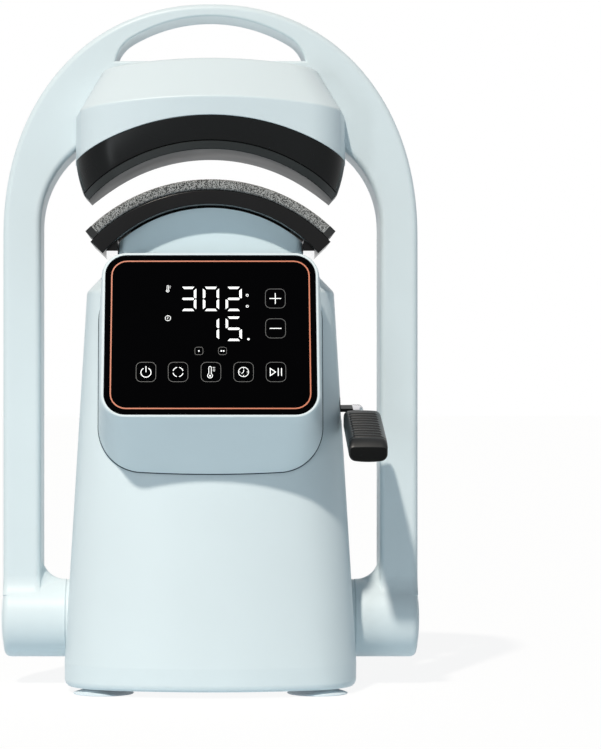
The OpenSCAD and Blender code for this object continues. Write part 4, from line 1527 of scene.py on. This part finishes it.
@dataclass
class HeatHead:
    """Heating head: a moulding, a black skirt and the hollow platen under them."""

    half: float = 87.3
    front: float = -48.0
    back: float = 14.9
    bulge: float = 300.0
    corner: float = 28.0
    lean: float = 0.12
    side_least: float = 16.0
    back_corner: float = 1.5
    wall: float = 3.0
    crease: float = 375.5
    crease_drop: float = 7.5
    crown: float = 402.6
    crown_drop: float = 6.0
    top_half: float = 70.0
    top_front: float = -22.0
    seam_radius: float = 153.0
    seam_top: float = 363.7
    seam_gap: float = 0.1
    skirt_in: float = 1.4
    skirt_front: float = 2.1
    skirt_rake: float = 0.55
    skirt_back: float = 39.0
    skirt_back_bulge: float = 600.0
    skirt_back_corner: float = 24.0
    # Share of the skirt's height and inset of each of its rings
    skirt_rows: tuple[Pair, ...] = ((0.0, 5.0), (0.3, 3.1), (0.6, 1.5), (0.85, 0.5), (1.0, 0.1))
    platen: float = 111.6
    platen_z: float = 231.0
    platen_in: float = 4.8
    platen_angle: float = 43.6
    lip: float = 116.9
    lip_thick: float = 0.8

    def seam_at(self, x: float) -> float:
        """Height of the seam between the moulding and the skirt."""
        return self.seam_top - self.seam_radius + math.sqrt(self.seam_radius**2 - x**2)

    def crease_at(self, x: float) -> float:
        """Height of the crease under the sloped face."""
        return self.crease - self.crease_drop * (x / self.half) ** 2

    def crown_at(self, x: float) -> float:
        """Height of the top."""
        return self.crown - self.crown_drop * (x / self.top_half) ** 2

    def face_at(self, radius: float) -> Height:
        """Height of a round face about the platen's axis."""
        return lambda x: self.platen_z + math.sqrt(radius**2 - x**2)

    def between(self, low: Height, share: float) -> Height:
        """Height part of the way from a lower edge to the seam."""
        return lambda x: low(x) + (self.seam_at(x) - self.seam_gap - low(x)) * share

    def plan(self, half: float, front: float, inset: float) -> Plan:
        """Outline of the moulding, whose sides lean out towards the back.

        Args:
            half: half width at the back.
            front: depth of the front at its middle.
            inset: how far the outline is drawn in.

        Returns:
            The outline.
        """
        back = self.back - inset
        turn = min(self.corner, back - front - self.side_least)
        near = (half - inset, front + inset, back, self.bulge, turn)
        return Plan(*near, STRAIGHT, self.back_corner, self.lean, back - 2)

    def skirt_plan(self, inset: float) -> Plan:
        """Outline of the skirt, which draws in towards the lip.

        Args:
            inset: how far the outline is drawn in at the sides.

        Returns:
            The outline.
        """
        half = self.half - self.skirt_in - inset
        front = self.front + self.skirt_front + self.skirt_rake * inset
        back = self.skirt_back - 0.5 * inset
        return Plan(half, front, back, self.bulge, self.corner, self.skirt_back_bulge, self.skirt_back_corner)

    def housing(self) -> Piece:
        """Build the moulding: a steep lower face, a crease and a long slope to the crowned top.

        Returns:
            The moulding.
        """
        d = self.wall
        seam = raised(self.seam_at, self.seam_gap)
        rings = [
            self.plan(self.top_half, self.top_front, d).at(raised(self.crown_at, -d)),
            self.plan(self.half - 1, self.front + 0.6, d).at(raised(self.crease_at, -1)),
            self.plan(self.half, self.front, d).at(seam),
            self.plan(self.half - 0.1, self.front + 1.8, 0).at(seam),
            self.plan(self.half - 0.4, self.front, 0).at(self.crease_at),
            self.plan(self.top_half, self.top_front, 0).at(self.crown_at),
            self.plan(self.top_half - 9, self.top_front + 9, 0).at(self.crown_at),
        ]
        radii = [0, 0, 0, 0.5, 1.1, 3.2, 0]
        return evened(Skin().loft(eased(rings, radii, 6)).made("head_moulding"))

    def skirt(self) -> Piece:
        """Build the skirt: a black band that tapers down to the lip.

        Returns:
            The skirt.
        """
        lip = self.face_at(self.lip + 0.4)
        rings = [self.skirt_plan(3).at(raised(self.seam_at, -2.6)), self.skirt_plan(7).at(lip)]
        rings += [self.skirt_plan(inset).at(self.between(lip, share)) for share, inset in self.skirt_rows]
        rings.append(self.skirt_plan(1).at(raised(self.seam_at, -self.seam_gap)))
        return Skin().loft(eased(rings, [0, 0, 0.7, 3, 3, 3, 0.4, 0])).made("head_band")

    def platen_slice(self, name: str, front: float, back: float | None, edge: float) -> Piece:
        """Build a bent slice of the hollow platen, from its front edge backwards.

        Args:
            name: name of the piece.
            front: how far the slice starts behind the platen's front edge.
            back: how far it ends behind that edge, or nothing for the whole depth.
            edge: softening of the slice's front edges.

        Returns:
            The slice.
        """
        plan = self.skirt_plan(self.platen_in)
        steps = 120
        rings = []
        for k in range(steps + 1):
            t = math.radians(self.platen_angle * (2 * k / steps - 1))
            outer = min(self.lip, (plan.half - 0.05) / max(abs(math.sin(t)), TINY))
            ring = []
            for r, way in ((self.platen, 1), (outer, -1)):
                x = r * math.sin(t)
                near = plan.front_at(x)
                far = plan.back_at(x) if back is None else near + back
                side = [(r, far), (r, near + front + edge), (r + way * edge, near + front)]
                ring += side[::way]
            rings.append([Vector((r * math.sin(t), y, self.platen_z + r * math.cos(t))) for r, y in ring])
        return Skin().loft(rings, Cap.FACE).made(name)

    def build(self) -> None:
        """Build and dress the head."""
        dressed(self.housing(), BLUE, Body.FRAME, "head_housing")
        dressed(self.skirt(), SKIRT, Body.FRAME, "head_skirt")
        hollow = self.platen_slice("hollow_platen", self.lip_thick, None, 0.0)
        dressed(hollow, PLATEN, Body.FRAME, "heat_platen")
        dressed(self.platen_slice("platen_lip", 0.0, self.lip_thick, 0.4), LIP, Body.FRAME)


@dataclass
class LowerPlaten:
    """Lower platen: a neck, a black arch and a soft pad on it."""

    front: float = -42.0
    back: float = 34.0
    pad_z: float = 213.4
    pad: float = 110.4
    pad_thick: float = 6.6
    pad_angle: float = 42.78
    pad_edge: float = 1.6
    pad_gap: float = 0.5
    skin_scale: float = 0.45
    skin_rise: float = 0.12
    arch: float = 103.6
    arch_angle: float = 46.7
    arch_edge: float = 0.9
    under: float = 89.4
    under_z: float = 218.7
    web_floor: float = 279.2
    web_set: float = 8.0
    neck_bottom: float = 232.0
    neck_half: float = 58.2
    neck_front: float = -27.0
    neck_back: float = 19.0
    neck_corner: float = 5.0
    neck_wall: float = 3.0

    def pad_section(self) -> Flat:
        """Section of the pad as radius and depth, with its long edges rounded.

        Returns:
            The points, anticlockwise.
        """
        r = self.pad_edge
        low = self.pad - self.pad_thick
        y0 = self.front + self.pad_gap
        y1 = self.back - self.pad_gap
        top = [(self.pad, y0 + r + (y1 - y0 - 2 * r) * k / 40) for k in range(1, 40)]
        corners = arc(self.pad - r, y1 - r, r, 0, 90, 5) + arc(low + r, y1 - r, r, 90, 180, 5)
        corners += arc(low + r, y0 + r, r, 180, 270, 5) + arc(self.pad - r, y0 + r, r, 270, 360, 5)
        return corners + top

    def foam(self) -> Piece:
        """Build the pad: a bent slab of foam with a slightly uneven skin.

        Returns:
            The pad.
        """
        rings = []
        section = self.pad_section()
        steps = 150
        for k in range(steps + 1):
            t = math.radians(self.pad_angle * (2 * k / steps - 1))
            ring = []
            for r, y in section:
                place = Vector((r * math.sin(t), y, r * math.cos(t)))
                skin = noise.noise(place * self.skin_scale) * self.skin_rise
                soft = skin if r > self.pad - self.pad_thick / 2 else 0.0
                ring.append(place * ((r + soft) / r) + Vector((0, y * (1 - (r + soft) / r), self.pad_z)))
            rings.append(ring)
        return Skin().loft(rings, Cap.FACE).made("foam_pad", ROUNDER)

    def arch_body(self) -> Piece:
        """Build the arch with its softened edges, and a set-back web on each side of the neck.

        Returns:
            The arch.
        """
        skin = Skin()
        a = self.arch_angle
        inner = self.inner_angle(math.tan(math.radians(a)))
        outline = arc(0, self.pad_z, self.arch, 90 + a, 90 - a, 120)
        outline += arc(0, self.under_z, self.under, 90 - inner, 90 + inner, 120)
        plate(skin, outline, self.front, self.back, self.arch_edge)
        x0 = self.neck_half + 0.4
        z0 = self.web_floor
        r = self.under + 0.8
        x1 = math.sqrt(r**2 - (z0 - self.under_z) ** 2)
        start = math.degrees(math.acos(x0 / r))
        end = math.degrees(math.acos(x1 / r))
        web = [(x0, z0)] + arc(0, self.under_z, r, start, end, 10)
        for sign in SIDES:
            plate(skin, sided(web, sign)[::sign], self.front + self.web_set, self.back - self.web_set)
        return skin.made("platen_arch_moulding")

    def inner_angle(self, slope: float) -> float:
        """Angle at which the arch's underside meets its radial end, in degrees.

        Args:
            slope: how far the radial end goes out for its rise.

        Returns:
            The angle from the upright.
        """
        low = 0.0
        high = 80.0
        for _step in range(50):
            middle = (low + high) / 2
            t = math.radians(middle)
            x = self.under * math.sin(t)
            z = self.under_z + self.under * math.cos(t)
            if x < slope * (z - self.pad_z):
                low = middle
            else:
                high = middle
        return low

    def neck(self) -> Piece:
        """Build the neck as a shell with rounded corners under the arch.

        Returns:
            The neck.
        """
        d = self.neck_wall
        outer = rounded_plan(self.neck_half, self.neck_front, self.neck_back, self.neck_corner)
        corner = self.neck_corner - 2
        inner = rounded_plan(self.neck_half - d, self.neck_front + d, self.neck_back - d, corner)
        roof = self.under - 1.4

        def top(x: float) -> float:
            """Height of the neck's top."""
            return self.under_z + math.sqrt(roof**2 - x**2)

        rings = [
            inner.at(raised(top, -d)),
            inner.at(self.neck_bottom),
            outer.at(self.neck_bottom),
            outer.at(top),
        ]
        return Skin().loft(rings).made("neck_moulding")

    def build(self) -> None:
        """Build and dress the lower platen."""
        pad = dressed(self.foam(), PAD, Body.LIFT, "platen_pad")
        dressed(self.arch_body(), ARCH, Body.LIFT, "platen_arch")
        # The neck wears the pale blue raised as painted light, to lift the shade it sits in
        dressed(self.neck(), BLUE_PAINTED_LIGHTER, Body.LIFT, "neck_shell")


@dataclass
class ReturnSprings:
    """Coils on the guide rods, which shorten as the platen rises."""

    rod_x: float = 42.0
    rod_y: float = 6.4
    low: float = 241.1
    high: float = 269.9
    mean: float = 6.4
    wire: float = 0.8
    turns: int = 6
    steps: int = 28
    sides: int = 10
    kept: float = 0.38

    def coil(self, skin: Skin, x: float) -> None:
        """Add one coil round a rod.

        Args:
            skin: the mesh that it joins.
            x: place of the rod.
        """
        rings = []
        count = self.turns * self.steps
        for i in range(count + 1):
            t = 2 * math.pi * i / self.steps
            z = self.low + self.wire + (self.high - self.low - 2 * self.wire) * i / count
            ring = []
            for k in range(self.sides):
                s = -2 * math.pi * k / self.sides
                r = self.mean + self.wire * math.cos(s)
                place = (x + r * math.cos(t), self.rod_y + r * math.sin(t), z + self.wire * math.sin(s))
                ring.append(Vector(place))
            rings.append(ring)
        skin.loft(rings, Cap.FACE)

    def build(self) -> None:
        """Build both coils and give them a mesh of their own."""
        skin = Skin()
        for x in (-self.rod_x, self.rod_x):
            self.coil(skin, x)
        piece = dressed(skin.made("coil_springs", ROUNDER), STEEL, Body.BASE, "return_springs")
        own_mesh(piece)


@dataclass
class Lever:
    """Lever on the tower's right side, with a plated knuckle and a ribbed grip."""

    shaft: Vector = field(default_factory=SHAFT.copy)
    droop: float = math.radians(14)
    x: float = 96.5
    width: float = 23.8
    height: float = 14.4
    under_bulge: float = 60.0
    under_corner: float = 4.6
    top_bulge: float = 90.0
    top_corner: float = 3.6
    start: float = 9.0
    length: float = 77.0
    drop: float = -5.2
    cap: float = 7.5
    ribs: int = 10
    rib_step: float = 6.1
    rib_start: float = 11.4
    rib_reach: float = 9.0
    rib_end: float = 1.2
    rib_rise: float = 0.6
    rib_half: float = 1.9
    groove: float = 0.7
    fine_step: float = 0.3
    knuckle_in: float = 91.0
    knuckle_out: float = 98.2
    knuckle_top: float = 1.4
    knuckle_round: float = 3.4
    arm_half: float = 4.5
    arm_thick: float = 4.0
    arm_reach: float = 44.0

    def at(self, x: float, u: float, v: float) -> Vector:
        """Point on the resting lever.

        Args:
            x: place across the machine.
            u: place along the lever from its shaft.
            v: height above the lever's middle plane.

        Returns:
            The point.
        """
        c = math.cos(self.droop)
        s = math.sin(self.droop)
        return Vector((x, self.shaft.y - u * c - v * s, self.shaft.z - u * s + v * c))

    def rib(self, x: float, u: float) -> float:
        """Rise of the ribs, and depth of the grooves between them, on the grip's top.

        Args:
            x: place across the grip from its middle.
            u: place along the lever.

        Returns:
            The rise, less than 0 in a groove.
        """
        along = (u - self.start - self.rib_start) / self.rib_step
        nearest = round(along)
        if not 0 <= nearest < self.ribs or abs(x) > self.rib_reach:
            return 0.0
        off = (along - nearest) * self.rib_step / self.rib_half
        ends = min(1.0, (self.rib_reach - abs(x)) / self.rib_end)
        crest = math.sqrt(max(0.0, 1 - off * off))
        return (self.rib_rise * crest - self.groove * (1 - crest)) * ends

    def section(self, u: float, inset: float, dip: float = 0.0) -> Loop:
        """Section of the grip with the ribs on its top.

        Args:
            u: place along the lever.
            inset: how far the section is drawn in.
            dip: share by which its upper half is lowered.

        Returns:
            The ring.
        """
        half = self.width / 2 - inset
        high = self.height / 2 - inset
        under = self.under_corner - inset * 0.6
        top = self.top_corner - inset * 0.5
        plan = Plan(half, -high, high, self.under_bulge, under, self.top_bulge, top)
        made = []
        for p, q in plan.outline(24):
            rise = self.rib(p, u) if q > 0 else 0.0
            made.append(self.at(self.x - p, u, self.drop + q * (1 - dip if q > 0 else 1) + rise))
        return made

    def lofted(self, stack: Sequence[tuple[float, ...]], name: str, sharp: float) -> Piece:
        """Loft the grip's section along the lever, over rows of a place, an inset and a dip."""
        return Skin().loft([self.section(*row) for row in stack]).made(name, sharp)

    def grip(self) -> Piece:
        """Build the grip up to its end cap: a rounded start and a ribbed top.

        Returns:
            The grip.
        """
        end = self.start + self.length - self.cap
        lead = ((0, 2.4), (0.5, 1.1), (1.5, 0.5), (3.2, 0.2), (6, 0.0))
        stack = [(self.start + u, inset) for u, inset in lead]
        u = self.start + 9
        while u < end - 1:
            stack.append((u, 0.0))
            u += self.fine_step
        stack += [(end - 0.7, 0.0), (end - 0.2, 0.2), (end, 0.6)]
        return self.lofted(stack, "ribbed_grip", ROUND)

    def end_cap(self) -> Piece:
        """Build the cap on the grip's end, with its edge rolled over.

        Returns:
            The cap.
        """
        low = self.start + self.length - self.cap
        high = self.start + self.length
        stack = [(low, 0.6, 0.0), (low + 0.2, 0.2, 0.0), (low + 0.7, 0.0, 0.01), (high - 5, 0.0, 0.08)]
        stack += [(high - 3.4, 0.0, 0.2), (high - 2.0, 0.0, 0.36), (high - 1.0, 0.05, 0.5)]
        stack += [(high - 0.3, 0.4, 0.58), (high - 0.1, 0.8, 0.6), (high - 0.1, 1.0, 0.6)]
        return self.lofted(stack, "grip_end_cap", ROUNDER)

    def plug(self) -> Piece:
        """Build the plug in the end cap's face.

        Returns:
            The plug.
        """
        high = self.start + self.length
        stack = [(high - 1.0, 0.9, 0.62), (high - 0.05, 0.9, 0.62), (high, 1.1, 0.63)]
        return self.lofted(stack, "grip_end_plug", SHARP)

    def knuckle(self) -> Piece:
        """Build the plated knuckle with the flat arm that runs into the grip.

        Returns:
            The knuckle and the arm as one piece.
        """
        skin = Skin()
        low = self.drop - 2
        high = self.knuckle_top
        r = self.knuckle_round
        outline = [(self.knuckle_in, low), (self.knuckle_in, high)]
        outline += arc(self.knuckle_out - r, high - r, r, 90, 0, 10) + [(self.knuckle_out, low)]
        rings = []
        for u, inset in ((-6.0, 0.7), (-5.8, 0.2), (-5.3, 0.0), (8.3, 0.0), (8.7, 0.2), (8.8, 0.7)):
            rings.append([self.at(x, u, v) for x, v in drawn_in(outline, inset)])
        skin.loft(rings, Cap.FACE)
        plan = rounded_plan(self.arm_half, -self.arm_thick / 2, self.arm_thick / 2, 0.8)
        rings = []
        for u in (0.0, self.arm_reach):
            rings.append([self.at(self.x - p, u, self.drop + q) for p, q in plan.outline(8)])
        skin.loft(rings)
        return skin.made("plated_knuckle")

    def build(self) -> None:
        """Build and dress the lever's visible pieces."""
        dressed(self.grip(), GRIP, Body.LEVER, "lever_grip")
        dressed(self.end_cap(), GRIP, Body.LEVER)
        dressed(self.plug(), PLUG, Body.LEVER)
        dressed(self.knuckle(), PLATED, Body.LEVER, "lever_arm")


@dataclass
class Inside:
    """CAD nodes that stay as they are and only get a finish."""

    finishes: dict[Finish, tuple[str, ...]] = field(
        default_factory=lambda: {
            BLUE: ("rear_cover", "frame_back_cover"),
            BLACK: ("mains_inlet", "lever_shaft", "cam_screw", "thermostat"),
            END_STRIP: ("pad_end_strips",),
            DARK_RUBBER: ("shaft_grommet", "platen_gasket", "friction_discs"),
            POLISHED: ("platen_under_plate",),
            PLATED: ("guide_rods", "roller_pin", "follower_roller"),
            STEEL: (
                "rear_cover_screws", "base_plate", "foot_nuts", "chassis_plates", "hinge_stubs",
                "spring_washers", "lock_nuts", "rod_bridges", "rod_collars", "frame_spine", "lift_block",
                "back_cover_screws", "head_bolts", "press_cam", "retaining_rings", "heating_bars",
            ),
            BRONZE: ("shaft_bushes", "hinge_bushes", "slide_bushes"),
            BOARD: ("display_board", "power_board"),
            BLANKET: ("insulation_blanket",),
        }
    )

    def build(self) -> None:
        """Give every kept node its finish."""
        for finish, names in self.finishes.items():
            for name in names:
                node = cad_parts[name]
                if not node.material_slots:
                    node.data.materials.append(None)
                for place in node.material_slots:
                    place.material = finish.material()
                LOG.info("%s keeps its CAD shape, in %s", name, finish.name)


@dataclass
class Studio:
    """Floor, light and camera."""

    eye: Vector = field(default_factory=lambda: Vector((0, -1.735, 0.1852)))
    lens: float = 129.77
    sensor: float = 36.0
    shift: Pair = (0.1202, 0.0340)
    sun_way: Vector = field(default_factory=lambda: Vector((0.37, 1.0, -1.2)))
    sun: float = 2.55
    sun_size: float = 0.045
    sun_colour: Colour = (1.0, 0.93, 0.84)
    low_lamp: Vector = field(default_factory=lambda: Vector((-0.55, -1.13, 0.22)))
    low_aim: Vector = field(default_factory=lambda: Vector((0, 0, 0.27)))
    low_power: float = 1.4
    low_size: Pair = (0.16, 0.42)
    low_colour: Colour = (0.92, 0.97, 1.0)
    fill: float = 0.21
    fill_colour: Colour = (0.74, 0.88, 1.0)
    floor_reach: float = 30.0
    floor_share: float = 0.12
    floor_glow: float = 1.02
    bounce: Colour = (0.66, 0.78, 0.86)

    def camera(self) -> None:
        """Set the camera level in front of the machine."""
        lens = bpy.data.cameras.new("camera")
        lens.sensor_fit = "VERTICAL"
        lens.sensor_height = self.sensor
        lens.lens = self.lens
        lens.shift_x, lens.shift_y = self.shift
        camera = placed("camera", lens)
        camera.location = self.eye
        camera.rotation_euler = (math.pi / 2, 0, 0)
        bpy.context.scene.camera = camera

    def lamp(self, name: str, kind: str, power: float, colour: Colour, way: Vector) -> Piece:
        """Set one lamp.

        Args:
            name: name of the lamp.
            kind: its kind, in Blender's words.
            power: its strength.
            colour: colour of its light.
            way: the way that it shines.

        Returns:
            The lamp.
        """
        light = bpy.data.lights.new(name, kind)
        light.energy = power
        light.color = colour
        made = placed(name, light)
        made.rotation_euler = way.to_track_quat("-Z", "Y").to_euler()
        return made

    def lamps(self) -> None:
        """Set one lamp high on the left in front, and a weak one low down on the same side."""
        key = self.lamp("key", "SUN", self.sun, self.sun_colour, self.sun_way)
        key.data.angle = self.sun_size
        low = self.lamp("low", "AREA", self.low_power, self.low_colour, self.low_aim - self.low_lamp)
        low.location = self.low_lamp
        low.data.shape = "RECTANGLE"
        low.data.size, low.data.size_y = self.low_size

    def seen(self, tree: Tree) -> Socket:
        """Value that is 1 where the camera, or a mirror or glass, looks straight at a surface.

        Args:
            tree: the nodes that it joins.

        Returns:
            The value.
        """
        path = tree.nodes.new("ShaderNodeLightPath")
        value = path.outputs["Is Camera Ray"]
        for name in ("Is Glossy Ray", "Is Transmission Ray"):
            most = tree.nodes.new("ShaderNodeMath")
            most.operation = "MAXIMUM"
            tree.links.new(value, most.inputs[0])
            tree.links.new(path.outputs[name], most.inputs[1])
            value = most.outputs[0]
        return value

    def mixed(self, tree: Tree, share: Socket | float, first: Socket, second: Socket) -> Socket:
        """Mix two shaders.

        Args:
            tree: the nodes that the mix joins.
            share: how much the second shader counts.
            first: the first shader.
            second: the second shader.

        Returns:
            The mixed shader.
        """
        mix = tree.nodes.new("ShaderNodeMixShader")
        if isinstance(share, float):
            mix.inputs["Fac"].default_value = share
        else:
            tree.links.new(share, mix.inputs["Fac"])
        tree.links.new(first, mix.inputs[1])
        tree.links.new(second, mix.inputs[2])
        return mix.outputs[0]

    def world(self) -> None:
        """Make the surroundings white to look at, and a plain fill as light."""
        world = bpy.data.worlds.new("studio")
        bpy.context.scene.world = world
        world.use_nodes = True
        tree = world.node_tree
        fill = tree.nodes["Background"]
        fill.inputs["Color"].default_value = (*self.fill_colour, 1)
        fill.inputs["Strength"].default_value = self.fill
        white = tree.nodes.new("ShaderNodeBackground")
        white.inputs["Color"].default_value = (1, 1, 1, 1)
        white.inputs["Strength"].default_value = 1.0
        shown = self.mixed(tree, self.seen(tree), fill.outputs[0], white.outputs[0])
        tree.links.new(shown, tree.nodes["World Output"].inputs["Surface"])

    def floor(self) -> None:
        """Lay a plain pale floor that keeps a faint shadow."""
        mesh = bpy.data.meshes.new("floor")
        reach = self.floor_reach
        corners = [(-reach, -reach, 0), (reach, -reach, 0), (reach, reach, 0), (-reach, reach, 0)]
        mesh.from_pydata(corners, [], [(0, 1, 2, 3)])
        floor = placed("floor", mesh)
        made = bpy.data.materials.new("pale_floor")
        made.use_nodes = True
        tree = made.node_tree
        tree.nodes.remove(tree.nodes["Principled BSDF"])
        bounce = tree.nodes.new("ShaderNodeBsdfDiffuse")
        bounce.inputs["Color"].default_value = (*self.bounce, 1)
        pale = tree.nodes.new("ShaderNodeBsdfDiffuse")
        pale.inputs["Color"].default_value = (1, 1, 1, 1)
        white = tree.nodes.new("ShaderNodeEmission")
        white.inputs["Strength"].default_value = self.floor_glow
        shown = self.mixed(tree, 1 - self.floor_share, pale.outputs[0], white.outputs[0])
        whole = self.mixed(tree, self.seen(tree), bounce.outputs[0], shown)
        tree.links.new(whole, tree.nodes["Material Output"].inputs["Surface"])
        mesh.materials.append(made)

    def build(self) -> None:
        """Set up the whole studio."""
        bpy.context.scene.view_settings.view_transform = "Standard"
        self.camera()
        self.lamps()
        self.world()
        self.floor()


def main() -> None:
    """Build the studio and every sub-assembly in order."""
    logging.basicConfig(level=logging.INFO, format="%(message)s")
    tower = Tower()
    fixed = (Studio(), tower, Console(tower))
    moving = (ArchFrame(), HeatHead(), LowerPlaten(), ReturnSprings(), Lever())
    for part in (*fixed, *moving, Inside()):
        part.build()


if __name__ == "__main__":
    main()
